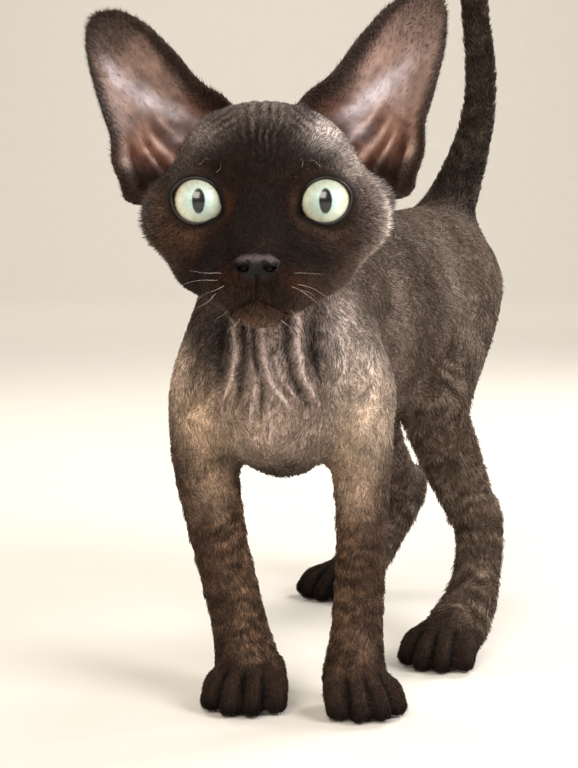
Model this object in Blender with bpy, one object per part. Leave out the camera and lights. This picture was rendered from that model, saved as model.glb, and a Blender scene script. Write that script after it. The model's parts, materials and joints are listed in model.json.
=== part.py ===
# A young Devon Rex cat at life size, standing with its face to the front (-Y), its body
# trailing back to its own left (+X) and its tail up. The flesh is one blended surface,
# parted with thin cuts into head, neck, torso, legs, paws and tail.
import math

import bmesh
import bpy
import numpy as np
from mathutils import Matrix, Vector

# Every size and place is in millimetres, and becomes metres when a mesh is made.
MM = 0.001
GAP = 0.3

# The middle of the model's box, in the frame that the forms are placed in.
ORIGIN = (13.0, 81.6)

# Head: its middle is behind the point between the eyes, and the face turns a little aside.
HEAD_PLACE = (-8.2, -30.0, 188.0)
HEAD_YAW = math.radians(-3.0)
EYE_SPACING = 41.7
EYE_RADIUS = 10.0
EYE_DEPTH = -11.4
EYE_HALF_WIDTH = 8.6
EYE_HALF_HEIGHT = 7.5
EYE_TILT = math.radians(-14.0)
GAZE_OUT = math.radians(3.0)
LID_THICKNESS = 1.1
CORNEA_RISE = 0.9
CORNEA_HALF_ANGLE = math.radians(46.0)

# Body: the spine runs back from the chest at this angle to the camera's axis.
BODY_YAW = math.radians(24.0)
SIDE = (math.cos(BODY_YAW), -math.sin(BODY_YAW), 0.0)

# Ears: length from the middle of the base, wall and how far the cup wraps round.
EAR_WALL = 1.9
EAR_WRAP_BASE = math.radians(84.0)
EAR_WRAP_TIP = math.radians(38.0)

# Paws: toes sit on each side of the middle, the two inner ones further forward.
TOE_OFFSETS = ((-11.6, 10.2), (-4.1, 15.2), (4.1, 15.2), (11.6, 10.2))
TOE_RADIUS = 4.9

# Meshing: the size of the voxels that fuse the forms, and the triangles that are kept.
BODY_VOXEL = 1.7
HEAD_VOXEL = 0.85
BODY_TRIANGLES = 6000
HEAD_TRIANGLES = 4600
SKULL_TRIANGLES = 2600
EVENING = 3
SOLE_REACH = 0.35
SLIVER = 0.02
BEAD_SWELL = 1.5
SHARP_ANGLE = math.radians(50.0)


def clear_scene():
    for found in list(bpy.data.objects):
        bpy.data.objects.remove(found)


def turned(point, yaw, place):
    """A point of a local frame, turned about the vertical and moved to its place."""
    x, y, z = point
    c, s = math.cos(yaw), math.sin(yaw)
    return (place[0] + c * x - s * y, place[1] + s * x + c * y, place[2] + z)


def head_point(x, y, z):
    return turned((x, y, z), HEAD_YAW, HEAD_PLACE)


def curve_through(stations, steps):
    """Stations read from a smooth curve through the given ones."""
    rows = np.array(stations, float)
    ends = np.vstack([2 * rows[0] - rows[1], rows, 2 * rows[-1] - rows[-2]])
    found = []
    for i in range(1, len(ends) - 2):
        a, b, c, d = ends[i - 1 : i + 3]
        for t in np.arange(steps) / steps:
            found.append(
                0.5
                * (
                    2 * b
                    + (c - a) * t
                    + (2 * a - 5 * b + 4 * c - d) * t**2
                    + (3 * b - a - 3 * c + d) * t**3
                )
            )
    found.append(rows[-1])
    return np.array(found)


class Limb:
    """A round form along a path of (x, y, z, radius), narrowed by a share along one direction."""

    def __init__(self, stations, blend=6.0, narrow=1.0, side=SIDE, steps=5):
        self.rows = curve_through(stations, steps) if len(stations) > 1 else np.array(stations)
        self.blend = blend
        self.narrow = narrow
        self.side = np.array(side)

    def beads(self):
        for x, y, z, radius in self.rows:
            yield (x, y, z), (radius * self.narrow, radius, radius), self.side

    def box(self):
        reach = self.rows[:, 3:4]
        return (self.rows[:, :3] - reach).min(0), (self.rows[:, :3] + reach).max(0)

    def distance(self, points):
        best = np.full(len(points), 1e3)
        for a, b in zip(self.rows[:-1], self.rows[1:]):
            line = b[:3] - a[:3]
            away = points - a[:3]
            t = np.clip(away @ line / max(line @ line, 1e-9), 0, 1)
            away = away - t[:, None] * line
            if self.narrow != 1.0:
                along = away @ self.side
                away = away + np.outer(along * (1 / self.narrow - 1), self.side)
            best = np.minimum(best, np.linalg.norm(away, axis=1) - (a[3] + t * (b[3] - a[3])))
        return best


class Egg:
    """An ellipsoid with its three radii, turned about the vertical."""

    def __init__(self, centre, radii, blend=6.0, yaw=HEAD_YAW):
        self.centre = np.array(centre, float)
        self.radii = np.array(radii, float)
        self.blend = blend
        c, s = math.cos(yaw), math.sin(yaw)
        self.axes = np.array([[c, s, 0], [-s, c, 0], [0, 0, 1]])

    def beads(self):
        yield tuple(self.centre), tuple(self.radii), self.axes[0]

    def box(self):
        reach = self.radii.max()
        return self.centre - reach, self.centre + reach

    def distance(self, points):
        away = points - self.centre
        share = np.linalg.norm((away @ self.axes.T) / self.radii, axis=1)
        return np.linalg.norm(away, axis=1) * (1 - 1 / np.maximum(share, 1e-3))


def soft_join(a, b, width):
    h = np.clip(0.5 + 0.5 * (b - a) / width, 0, 1)
    return b * (1 - h) + a * h - width * h * (1 - h)


def field(points, forms):
    """Signed distance to the blended forms."""
    total = np.full(len(points), 1e3)
    for form in forms:
        low, high = form.box()
        margin = form.blend + 5.0
        near = ((points > low - margin) & (points < high + margin)).all(1)
        if near.any():
            total[near] = soft_join(total[near], form.distance(points[near]), form.blend)
    return total


def settle(points, forms, offset=0.0, rounds=5):
    """Points moved along the field's slope until they lie on its surface, or off it."""
    step = 0.15
    corners = np.array([(1, -1, -1), (-1, -1, 1), (-1, 1, -1), (1, 1, 1)], float)
    for _ in range(rounds):
        slope = np.zeros_like(points)
        middle = np.zeros(len(points))
        for corner in corners:
            value = field(points + corner * step, forms)
            slope += value[:, None] * corner
            middle += value / 4
        slope /= 4 * step
        length = np.maximum(np.linalg.norm(slope, axis=1), 0.3)
        move = np.clip((middle - offset) / length, -1.5, 1.5)
        points = points - slope / length[:, None] * move[:, None]
    return points


def eye_centre(side):
    return head_point(side * EYE_SPACING / 2, EYE_DEPTH, 0.0)


def head_forms():
    """Skull, brows, cheeks, muzzle, nose and chin. The first forms carry the later ones."""
    forms = [
        Egg(head_point(0, 10, 12), (32.5, 31, 22), 4),
        Egg(head_point(0, -4, 12), (25, 15.5, 18.5), 10),
        Limb(
            [
                (*head_point(0, -8, 7), 13.0),
                (*head_point(0, -14.5, -2.5), 11.5),
                (*head_point(0, -24.5, -10.5), 9.3),
                (*head_point(0, -33.6, -16.0), 6.6),
            ],
            7,
        ),
        Egg(head_point(0, -21, -21.5), (17.5, 17, 13.5), 9),
        Egg(head_point(0, -8, -30), (15, 20, 9.5), 8),
        Egg(head_point(0, -26.5, -34.6), (10.8, 9.6, 7.0), 6),
    ]
    for side in (-1, 1):
        forms += [
            Egg(head_point(side * 22.8, 3, -5), (19.0, 21, 17), 10),
            Egg(head_point(side * 13, -7, -20), (14.5, 17, 13), 10),
            Egg(head_point(side * 17, -8, 9.5), (13, 9.5, 8), 6),
            Egg(head_point(side * 25, 34, 2), (15, 11, 14), 9),
            Egg(head_point(side * 31.5, 20, 0.5), (12.5, 10, 9.5), 12),
            Egg(eye_centre(side), (EYE_RADIUS + LID_THICKNESS,) * 3, 4.5),
            Egg(head_point(side * 7.3, -31, -25.6), (9.5, 9.2, 8.2), 5),
            Egg(head_point(side * 3.3, -38.8, -20.0), (3.6, 3.6, 3.9), 1.6),
        ]
    forms.append(Egg(head_point(0, -37.8, -18.8), (5.8, 4.4, 3.6), 2))
    return forms


def on_face(x, z, sink, forms):
    """The point of the face straight ahead of a spot behind it, sunk by a little."""
    near, far = -60.0, -15.0
    for _ in range(14):
        middle = (near + far) / 2
        if field(np.array([head_point(x, middle, z)]), forms)[0] > 0:
            near = middle
        else:
            far = middle
    return head_point(x, far + sink, z)


# Lines cut into the face: across, height and half width.
LIP_GROOVE = ((0.0, -23.4, 0.6), (0.0, -26.5, 0.8), (0.0, -31.6, 0.9))
MOUTH_LINE = ((-10.6, -36.8, 0.5), (-8.0, -35.3, 0.9), (-4.2, -33.1, 1.0), (0.0, -31.7, 1.0),
              (4.2, -33.1, 1.0), (8.0, -35.3, 0.9), (10.6, -36.8, 0.5))
NOSTRILS = (
    ((-6.1, -20.6, 0.5), (-4.9, -21.3, 1.0), (-3.4, -20.6, 1.3), (-2.7, -19.6, 0.8)),
    ((2.7, -19.6, 0.8), (3.4, -20.6, 1.3), (4.9, -21.3, 1.0), (6.1, -20.6, 0.5)),
)


def neck_form():
    return Limb(
        [
            (4, 52, 158, 27),
            (-3, 30, 161, 26),
            (-7, 10, 169, 24.5),
            (-9.5, -7, 181, 23),
            (-10, -18, 188, 21),
        ],
        9,
    )


def torso_forms():
    return [
        Limb(
            [
                (-5, 14, 126, 28),
                (-4, 27, 129, 37),
                (3, 46, 134, 44),
                (18, 78, 138, 46.5),
                (35, 108, 142, 44),
                (51, 136, 146, 41),
                (63, 158, 150, 38.5),
                (70, 173, 157, 30),
                (75, 184, 165, 19),
            ],
            8,
            narrow=0.79,
        ),
        Limb([(-5, 8, 134, 23), (-4, 11, 112, 22), (-2, 24, 104, 20)], 10),
    ]


FORELEGS = {
    "right": [
        (-19, 44, 160, 13),
        (-29, 21, 124, 15.5),
        (-31.5, 27, 105, 15),
        (-31.5, 33, 87, 13.8),
        (-28.5, 29, 70, 12.6),
        (-24.9, 25, 54, 11.9),
        (-19.3, 22, 32, 11.8),
        (-15.6, 20, 15, 12.2),
    ],
    "left": [
        (8, 44, 162, 13),
        (24, 19, 124, 15.5),
        (26, 24, 105, 14.6),
        (27.5, 29, 87, 12.8),
        (27.4, 24, 70, 11.2),
        (27, 19, 54, 10.8),
        (25.6, 15, 32, 11.0),
        (24.6, 12, 15, 11.6),
    ],
}

# Thigh, shank with heel, and the long hind foot.
HINDLEGS = {
    "left": (
        [(77, 150, 150, 24), (70, 125, 131, 23), (60, 97, 107, 16)],
        [(59, 94, 106, 15), (66, 99, 87, 14.4), (74, 106, 68, 12.8), (80.5, 113, 53, 11.6)],
        [(84.5, 120, 56, 8.4), (83, 114, 44, 11), (79.5, 101, 28, 11.2), (73.5, 88, 17, 12),
         (69.5, 80, 12.5, 12.5)],
    ),
    "right": (
        [(47, 167, 150, 24), (42, 166, 124, 21.5), (37, 163, 94, 15)],
        [(37, 162, 91, 14.4), (42, 178, 76, 13.2), (51, 203, 59, 11.4), (58, 221, 49, 10.6)],
        [(62, 228, 53, 8.2), (56, 219, 40, 10.4), (46, 211, 26, 10.4), (38, 205, 16, 10.8),
         (32, 200, 12, 11.2)],
    ),
}

HAMSTRINGS = {
    "left": [(79, 165, 150, 20), (73, 137, 118, 15), (68, 112, 92, 11)],
    "right": [(48, 184, 148, 20), (42, 182, 112, 14), (41, 182, 84, 11)],
}

# Each paw: the middle of its sole, the way it points from straight ahead, and its size.
PAWS = {
    "fore_right": ((-15.2, 14.5), math.radians(-9.0), 1.04),
    "fore_left": ((26.0, 6.5), math.radians(14.0), 0.98),
    "hind_left": ((63.5, 73.0), math.radians(-22.0), 1.03),
    "hind_right": ((22.5, 194.0), math.radians(-42.0), 0.97),
}

TAIL = [
    (68, 172, 174, 16),
    (76, 184, 190, 12.5),
    (82.5, 190, 206, 10.4),
    (87, 192, 221, 9.2),
    (89.4, 192, 237, 8.3),
    (89.4, 191, 253, 7.9),
    (87.4, 189, 269, 7.4),
    (85.2, 187, 287, 6.9),
    (82.6, 184, 309, 6.2),
    (79.8, 182, 332, 5.3),
    (77.6, 181, 350, 4.3),
    (76.6, 181, 358, 3.0),
]


def paw_forms(place, heading, size):
    """The round of the paw, its main pad and four toes that arch down to the floor."""

    def spot(across, ahead, height):
        return turned((across * size, -ahead * size, height * size), heading, (*place, 0.0))

    forms = [
        Egg(spot(0, -1, 9), (13.2 * size, 14 * size, 8.2 * size), 5, heading),
        Egg(spot(0, -5, 3.4), (10 * size, 9 * size, 4.2 * size), 4, heading),
    ]
    for across, ahead in TOE_OFFSETS:
        forms.append(
            Limb(
                [
                    (*spot(across * 0.72, ahead - 14, 10.6), TOE_RADIUS * size),
                    (*spot(across * 0.94, ahead - 5.5, 9.0), TOE_RADIUS * size),
                    (*spot(across, ahead, 4.4), TOE_RADIUS * 0.96 * size),
                ],
                1.4,
            )
        )
    return forms


def limbs():
    """Every leg and the tail, by name."""
    found = {"tail": Limb(TAIL, 9)}
    for side, stations in FORELEGS.items():
        found[f"foreleg_{side}"] = Limb(stations, 7)
    for side, stations in HAMSTRINGS.items():
        found[f"hamstring_{side}"] = Limb(stations, 9, narrow=0.74)
    for side, (thigh, shank, foot) in HINDLEGS.items():
        found[f"thigh_{side}"] = Limb(thigh, 9, narrow=0.74)
        found[f"shank_{side}"] = Limb(shank, 7)
        found[f"foot_{side}"] = Limb(foot, 5)
    return found


def body_forms():
    """The trunk carries the neck, the limbs and the tail, and these carry the paws."""
    forms = torso_forms() + [neck_form()] + list(limbs().values())
    for place, heading, size in PAWS.values():
        forms += paw_forms(place, heading, size)
    # The first toe of each forefoot, high on its inner side.
    forms.append(Egg((-4.4, 17, 14), (3.0, 4.0, 5.0), 3))
    forms.append(Egg((15.4, 10, 14), (2.8, 3.8, 4.8), 3))
    return forms


def tube_mesh(name, stations, sides=8):
    """A closed tube along a path of (x, y, z, radius)."""
    rows = curve_through(stations, 3)
    builder = bmesh.new()
    rings = []
    for i, row in enumerate(rows):
        along = Vector(rows[min(i + 1, len(rows) - 1)][:3] - rows[max(i - 1, 0)][:3])
        turn = along.normalized().to_track_quat("Z", "Y").to_matrix()
        ring = []
        for k in range(sides):
            angle = math.tau * k / sides
            out = turn @ Vector((math.cos(angle), math.sin(angle), 0)) * row[3]
            ring.append(builder.verts.new(Vector(row[:3]) + out))
        rings.append(ring)
    for a, b in zip(rings[:-1], rings[1:]):
        for k in range(sides):
            builder.faces.new((a[k - 1], a[k], b[k], b[k - 1]))
    builder.faces.new(rings[0][::-1])
    builder.faces.new(rings[-1])
    bmesh.ops.recalc_face_normals(builder, faces=builder.faces)
    mesh = bpy.data.meshes.new(name)
    builder.to_mesh(mesh)
    builder.free()
    return mesh


def face_line_cutters(forms):
    """Tubes that cut the nostrils, the groove of the upper lip and the line of the mouth."""
    made = []
    for line, sink in ((LIP_GROOVE, 0.1), (MOUTH_LINE, 0.35), *((n, 0.6) for n in NOSTRILS)):
        stations = [(*on_face(x, z, sink, forms), half) for x, z, half in line]
        mesh = tube_mesh("line", stations)
        made.append(new_object(mesh.name, mesh))
    return made


def new_object(name, mesh, colour=None, roughness=0.7):
    obj = bpy.data.objects.new(name, mesh)
    bpy.context.scene.collection.objects.link(obj)
    if colour:
        material = bpy.data.materials.get(name) or bpy.data.materials.new(name)
        material.use_nodes = True
        shader = material.node_tree.nodes["Principled BSDF"]
        shader.inputs["Base Color"].default_value = (*colour, 1.0)
        shader.inputs["Roughness"].default_value = roughness
        shader.inputs["Metallic"].default_value = 0.0
        mesh.materials.clear()
        mesh.materials.append(material)
    return obj


def bead_mesh(name, forms, low=None):
    """All the forms as overlapping round beads, a little swollen, ready to be fused."""
    builder = bmesh.new()
    for form in forms:
        for centre, radii, side in form.beads():
            if low is not None and centre[2] + max(radii) < low:
                continue
            across = Vector(side).normalized()
            back = Vector((0, 0, 1)).cross(across)
            turn = Matrix((across, back, (0, 0, 1))).transposed().to_4x4()
            size = Matrix.Diagonal((*(radius + BEAD_SWELL for radius in radii), 1.0))
            place = Matrix.Translation(centre)
            bmesh.ops.create_icosphere(
                builder, subdivisions=2, radius=1.0, matrix=place @ turn @ size
            )
    mesh = bpy.data.meshes.new(name)
    builder.to_mesh(mesh)
    builder.free()
    return mesh


def applied(obj):
    """The object's mesh with its modifiers applied."""
    graph = bpy.context.evaluated_depsgraph_get()
    graph.update()
    mesh = bpy.data.meshes.new_from_object(obj.evaluated_get(graph), depsgraph=graph)
    obj.modifiers.clear()
    obj.data = mesh
    return obj


def fused(name, forms, voxel, offset=0.0, low=None):
    """One closed surface: beads fused by voxels, then settled on the blended field."""
    obj = new_object(name, bead_mesh(name, forms, low))
    remesh = obj.modifiers.new("fuse", "REMESH")
    remesh.mode = "VOXEL"
    remesh.voxel_size = voxel
    applied(obj)
    points = np.empty(len(obj.data.vertices) * 3)
    obj.data.vertices.foreach_get("co", points)
    points = settle(points.reshape(-1, 3), forms, offset)
    points[:, 2] = np.maximum(points[:, 2], 0.0)
    obj.data.vertices.foreach_set("co", points.astype(np.float32).ravel())
    even = obj.modifiers.new("even", "SMOOTH")
    even.factor = 0.5
    even.iterations = EVENING
    return applied(obj)


def thinned(obj, triangles):
    """Fewer triangles, kept where the form bends most."""
    obj.data.calc_loop_triangles()
    thin = obj.modifiers.new("thin", "DECIMATE")
    thin.ratio = min(1.0, triangles / len(obj.data.loop_triangles))
    thin.use_collapse_triangulate = True
    return applied(obj)


def flatten_soles(obj):
    """The lowest points of the paws brought to one level, as small flats."""
    for vert in obj.data.vertices:
        if vert.co.z < SOLE_REACH:
            vert.co.z = 0.0
    return obj


def disc_mesh(name, centre, normal, radius, thickness, sides=28):
    """A flat round cutter."""
    builder = bmesh.new()
    turn = Vector(normal).normalized().to_track_quat("Z", "Y").to_matrix().to_4x4()
    bmesh.ops.create_cone(
        builder,
        cap_ends=True,
        segments=sides,
        radius1=radius,
        radius2=radius,
        depth=thickness,
        matrix=Matrix.Translation(centre) @ turn,
    )
    mesh = bpy.data.meshes.new(name)
    builder.to_mesh(mesh)
    builder.free()
    return mesh


def boolean(obj, cutters, solver="MANIFOLD"):
    """One Boolean with a collection of closed meshes, applied, and its cutters removed."""
    group = bpy.data.collections.new("cutters")
    for cutter in cutters:
        group.objects.link(cutter)
    tool = obj.modifiers.new("cut", "BOOLEAN")
    tool.operand_type = "COLLECTION"
    tool.collection = group
    tool.operation = "DIFFERENCE"
    tool.solver = solver
    applied(obj)
    for cutter in cutters:
        bpy.data.objects.remove(cutter)
    bpy.data.collections.remove(group)
    return obj


# The head is cut from the neck, and the trunk in three, by discs: middle, facing, radius.
NECK_CUT = ((-9.0, -1.0, 173.0), (-0.1, -0.69, 0.72), 60)
TRUNK_CUTS = [
    ((-4.5, 18.0, 160.0), (-0.1, -0.55, 0.83), 60),
    ((20.0, 77.0, 139.0), (0.4, 0.91, 0.0), 62),
]

# Limbs and tail are cut straight across: the share of the way along, and the disc's radius.
LIMB_CUTS = [
    ("foreleg_right", 0.52, 20),
    ("foreleg_right", 0.94, 20),
    ("foreleg_left", 0.52, 19),
    ("foreleg_left", 0.94, 18),
    ("shank_left", 0.52, 27),
    ("shank_left", 0.9, 20),
    ("foot_left", 0.78, 22),
    ("shank_right", 0.46, 24),
    ("shank_right", 0.8, 20),
    ("foot_right", 0.72, 20),
    ("tail", 0.12, 24),
    ("tail", 0.44, 16),
    ("tail", 0.72, 14),
]


def cuts():
    found = [NECK_CUT, *TRUNK_CUTS]
    named = limbs()
    for name, share, radius in LIMB_CUTS:
        rows = named[name].rows
        at = share * (len(rows) - 1)
        low = min(int(at), len(rows) - 2)
        along = rows[low + 1] - rows[low]
        middle = rows[low] + along * (at - low)
        found.append((tuple(middle[:3]), tuple(along[:3]), radius))
    return found


# A point inside each part, to name it by.
FLESH_PARTS = {
    "neck": (-5, 18, 163),
    "torso": (12, 60, 134),
    "hindquarters": (55, 145, 145),
    "foreleg_right": (-24.9, 25, 54),
    "forepaw_right": (-17, 10, 8),
    "foreleg_left": (26.6, 19, 54),
    "forepaw_left": (27.5, 3, 8),
    "hindleg_left": (75, 107, 66),
    "hindfoot_left": (80, 103, 31),
    "hindpaw_left": (62, 70, 8),
    "hindleg_right": (49, 197, 63),
    "hindfoot_right": (49, 213, 30),
    "hindpaw_right": (22, 190, 8),
    "tail_root": (88, 192, 221),
    "tail_middle": (85, 187, 287),
    "tail_tip": (79.8, 182, 332),
}

COAT_DARK = (0.035, 0.026, 0.022)
COAT_GREY = (0.09, 0.075, 0.068)
EAR_SKIN = (0.20, 0.13, 0.115)
IRIS_GREEN = (0.62, 0.72, 0.52)


def loose_parts(obj):
    """Each closed piece of a mesh, as a mesh of its own."""
    builder = bmesh.new()
    builder.from_mesh(obj.data)
    bmesh.ops.remove_doubles(builder, verts=builder.verts, dist=SLIVER)
    group = {}
    pieces = []
    for start in builder.verts:
        if start in group:
            continue
        stack, found = [start], []
        group[start] = len(pieces)
        while stack:
            vert = stack.pop()
            found.append(vert)
            for edge in vert.link_edges:
                other = edge.other_vert(vert)
                if other not in group:
                    group[other] = len(pieces)
                    stack.append(other)
        pieces.append(found)
    meshes = []
    for number, verts in enumerate(pieces):
        part = bmesh.new()
        copy = {vert: part.verts.new(vert.co) for vert in verts}
        for face in {face for vert in verts for face in vert.link_faces}:
            part.faces.new([copy[vert] for vert in face.verts])
        mesh = bpy.data.meshes.new(f"piece_{number}")
        volume = part.calc_volume()
        part.to_mesh(mesh)
        part.free()
        meshes.append((volume, mesh))
    builder.free()
    return meshes


def make_flesh():
    """Neck, torso, legs, paws and tail."""
    whole = flatten_soles(thinned(fused("flesh", body_forms(), BODY_VOXEL), BODY_TRIANGLES))
    cutters = []
    for number, (centre, normal, radius) in enumerate(cuts()):
        mesh = disc_mesh(f"cut_{number}", centre, normal, radius, GAP)
        cutters.append(new_object(mesh.name, mesh))
    boolean(whole, cutters)
    pieces = [mesh for volume, mesh in loose_parts(whole) if volume > 50.0]
    bpy.data.objects.remove(whole)
    for name, spot in FLESH_PARTS.items():
        nearest = min(
            pieces, key=lambda mesh: min((v.co - Vector(spot)).length for v in mesh.vertices)
        )
        pieces.remove(nearest)
        new_object(name, nearest, COAT_GREY if name in ("neck", "torso", "hindquarters") else COAT_DARK)


def gaze(side):
    yaw = HEAD_YAW + side * GAZE_OUT
    return Vector((math.sin(yaw), -math.cos(yaw), 0.0))


def eye_frame(side, centre):
    """Turns +Z to the gaze, with +X across the eye and the inner corner lower."""
    out = gaze(side)
    across = Vector((0, 0, 1)).cross(out)
    up = out.cross(across)
    tilt = Matrix.Rotation(side * EYE_TILT, 4, out)
    turn = Matrix((across, up, out)).transposed().to_4x4()
    return Matrix.Translation(centre) @ tilt @ turn


def eye_socket_cutters(side):
    """A round socket for the eyeball and the opening between the lids."""
    centre = eye_centre(side)
    socket = bmesh.new()
    bmesh.ops.create_uvsphere(
        socket,
        u_segments=24,
        v_segments=14,
        radius=EYE_RADIUS + GAP,
        matrix=eye_frame(side, centre),
    )
    opening = bmesh.new()
    depth = EYE_RADIUS + 8.0
    flare = 1.1
    bmesh.ops.create_cone(
        opening,
        cap_ends=True,
        segments=24,
        radius1=1.0,
        radius2=flare,
        depth=depth,
        matrix=eye_frame(side, centre)
        @ Matrix.Translation((0, 0, depth / 2))
        @ Matrix.Diagonal((EYE_HALF_WIDTH / flare, EYE_HALF_HEIGHT / flare, 1, 1)),
    )
    made = []
    for name, builder in (("socket", socket), ("opening", opening)):
        mesh = bpy.data.meshes.new(name)
        builder.to_mesh(mesh)
        builder.free()
        made.append(new_object(name, mesh))
    return made


def cornea(direction_share):
    """How far the clear front of the eye stands out, from its middle to its edge."""
    return CORNEA_RISE * (0.5 + 0.5 * math.cos(math.pi * min(1.0, direction_share)))


def make_eye(name, side):
    centre = eye_centre(side)
    builder = bmesh.new()
    bmesh.ops.create_uvsphere(builder, u_segments=20, v_segments=13, radius=EYE_RADIUS)
    for vert in builder.verts:
        angle = vert.co.angle(Vector((0, 0, 1)))
        if angle < CORNEA_HALF_ANGLE:
            vert.co *= 1 + cornea(angle / CORNEA_HALF_ANGLE) / EYE_RADIUS
    builder.transform(eye_frame(side, centre))
    mesh = bpy.data.meshes.new(name)
    builder.to_mesh(mesh)
    builder.free()
    return new_object(name, mesh, IRIS_GREEN, 0.08)


# Each ear: the middle of its base, the way it rises, the way its cup faces, and its length.
EARS = {
    "ear_right": ((-37.0, -6.0, 204.0), (-0.48, 0.10, 0.87), (-0.20, -0.97, 0.0), 58.5, -1),
    "ear_left": ((21.5, -6.0, 205.5), (0.43, 0.10, 0.90), (0.16, -0.98, 0.0), 63.0, 1),
}

# How far the ear's inner and outer margins lie from its middle line, at shares of its
# length from below the skull's surface to the tip. The outer one has the lobe low down.
EAR_INNER = ((-0.3, 24.0), (0.0, 25.0), (0.17, 23.0), (0.3, 18.9), (0.45, 16.3),
             (0.6, 14.4), (0.76, 11.6), (0.88, 8.0), (0.96, 4.0), (1.01, -2.2))
EAR_OUTER = ((-0.3, 9.0), (-0.15, 21.8), (-0.08, 25.2), (-0.02, 26.4), (0.05, 25.4), (0.19, 24.2),
             (0.33, 20.3), (0.42, 19.4), (0.62, 17.2), (0.79, 14.2), (0.92, 10.8),
             (0.98, 7.6), (1.01, 4.6))


def ear_margins(share):
    return [float(np.interp(share, *zip(*rows))) for rows in (EAR_INNER, EAR_OUTER)]


def ear_frame(name):
    base, rise, face, length, side = EARS[name]
    up = Vector(rise).normalized()
    front = Vector(face)
    front = (front - up * front.dot(up)).normalized()
    across = up.cross(front) * -side
    if across.x * side < 0:
        across = -across
    return Vector(base), across, front, up, length


def ear_point(name, share, turn, inset=0.0):
    """A point of the cup: share of the way up, turn from -1 at the inner edge to 1 at the outer."""
    base, across, front, up, length = ear_frame(name)
    wrap = EAR_WRAP_BASE + (EAR_WRAP_TIP - EAR_WRAP_BASE) * max(0.0, min(1.0, share)) ** 0.7
    inner, outer = ear_margins(share)
    radius = (inner + outer) / 2 / math.sin(wrap)
    angle = wrap * turn
    reach = radius - inset
    lean = 3.0 * math.sin(math.pi * max(0.0, share)) * share
    return (
        base
        + up * (share * length)
        + across * ((outer - inner) / 2 + reach * math.sin(angle))
        - front * (reach * math.cos(angle) - radius * math.cos(wrap) + lean)
    )


def make_ear(name, skull):
    """A curved cup with a real wall, seated on the skull."""
    rows, columns = 16, 13
    lowest = -0.3
    builder = bmesh.new()
    walls = []
    for inset in (0.0, EAR_WALL):
        wall = []
        for i in range(rows):
            share = lowest + (1.01 - lowest) * (i / (rows - 1)) ** 0.8
            line = []
            for j in range(columns):
                turn = -1 + 2 * j / (columns - 1)
                edge = 1 - 0.75 * max(0.0, abs(turn) - 0.8) / 0.2
                tip = 1 - 0.6 * max(0.0, share - 0.85) / 0.15
                line.append(builder.verts.new(ear_point(name, share, turn, inset * edge * tip)))
            wall.append(line)
        walls.append(wall)
    back, front = walls
    for i in range(rows - 1):
        for j in range(columns - 1):
            builder.faces.new((back[i][j], back[i][j + 1], back[i + 1][j + 1], back[i + 1][j]))
            builder.faces.new((front[i][j], front[i + 1][j], front[i + 1][j + 1], front[i][j + 1]))
    for i in range(rows - 1):
        for j, order in ((0, 1), (columns - 1, -1)):
            ring = (back[i][j], back[i + 1][j], front[i + 1][j], front[i][j])
            builder.faces.new(ring[::order])
    for j in range(columns - 1):
        for i, order in ((0, -1), (rows - 1, 1)):
            ring = (back[i][j], back[i][j + 1], front[i][j + 1], front[i][j])
            builder.faces.new(ring[::order])
    bmesh.ops.recalc_face_normals(builder, faces=builder.faces)
    if builder.calc_volume(signed=True) < 0:
        bmesh.ops.reverse_faces(builder, faces=builder.faces)
    mesh = bpy.data.meshes.new(name)
    builder.to_mesh(mesh)
    builder.free()
    ear = new_object(name, mesh, EAR_SKIN, 0.6)
    boolean(ear, [new_object("seat", skull.data.copy())])
    volume, largest = max(loose_parts(ear), key=lambda piece: piece[0])
    ear.data = largest
    ear.data.materials.append(bpy.data.materials[name])
    return ear


def half_space(name, centre, normal, size):
    """A block whose near face lies on the plane."""
    builder = bmesh.new()
    turn = Vector(normal).normalized().to_track_quat("Z", "Y").to_matrix().to_4x4()
    bmesh.ops.create_cube(
        builder,
        size=size,
        matrix=Matrix.Translation(centre) @ turn @ Matrix.Translation((0, 0, -size / 2)),
    )
    mesh = bpy.data.meshes.new(name)
    builder.to_mesh(mesh)
    builder.free()
    return new_object(name, mesh)


def make_skull(forms):
    """A slightly larger plain head, that the ears are cut to sit on."""
    return thinned(fused("skull", forms, 1.5, offset=GAP + 0.25, low=120.0), SKULL_TRIANGLES)


def make_head(forms):
    """The head, cut from the neck, with sockets for its eyes."""
    head = fused("head", forms, HEAD_VOXEL, low=120.0)
    head = thinned(head, HEAD_TRIANGLES)
    centre, normal, reach = NECK_CUT
    below = half_space("below", centre, normal, 260.0)
    below.data.transform(Matrix.Translation(Vector(normal).normalized() * (GAP / 2)))
    cutters = [below, *face_line_cutters(forms)]
    for side in (-1, 1):
        cutters += eye_socket_cutters(side)
    boolean(head, cutters)
    volume, largest = max(loose_parts(head), key=lambda piece: piece[0])
    bpy.data.objects.remove(head)
    return new_object("head", largest, COAT_DARK)


def to_metres():
    shift = Matrix.Translation((-ORIGIN[0], -ORIGIN[1], 0.0))
    for obj in bpy.context.scene.collection.objects:
        obj.data.transform(Matrix.Scale(MM, 4) @ shift)
        obj.data.shade_smooth()
        obj.data.set_sharp_from_angle(angle=SHARP_ANGLE)


def main():
    clear_scene()
    make_flesh()
    forms = head_forms()
    forms.insert(1, neck_form())
    make_head(forms)
    skull = make_skull(forms)
    for name in EARS:
        make_ear(name, skull)
    bpy.data.objects.remove(skull)
    make_eye("eye_right", -1)
    make_eye("eye_left", 1)
    to_metres()


main()
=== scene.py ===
import json
import math

import bmesh
import bpy
import numpy as np
from mathutils import Matrix, Vector
from mathutils.kdtree import KDTree

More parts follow.
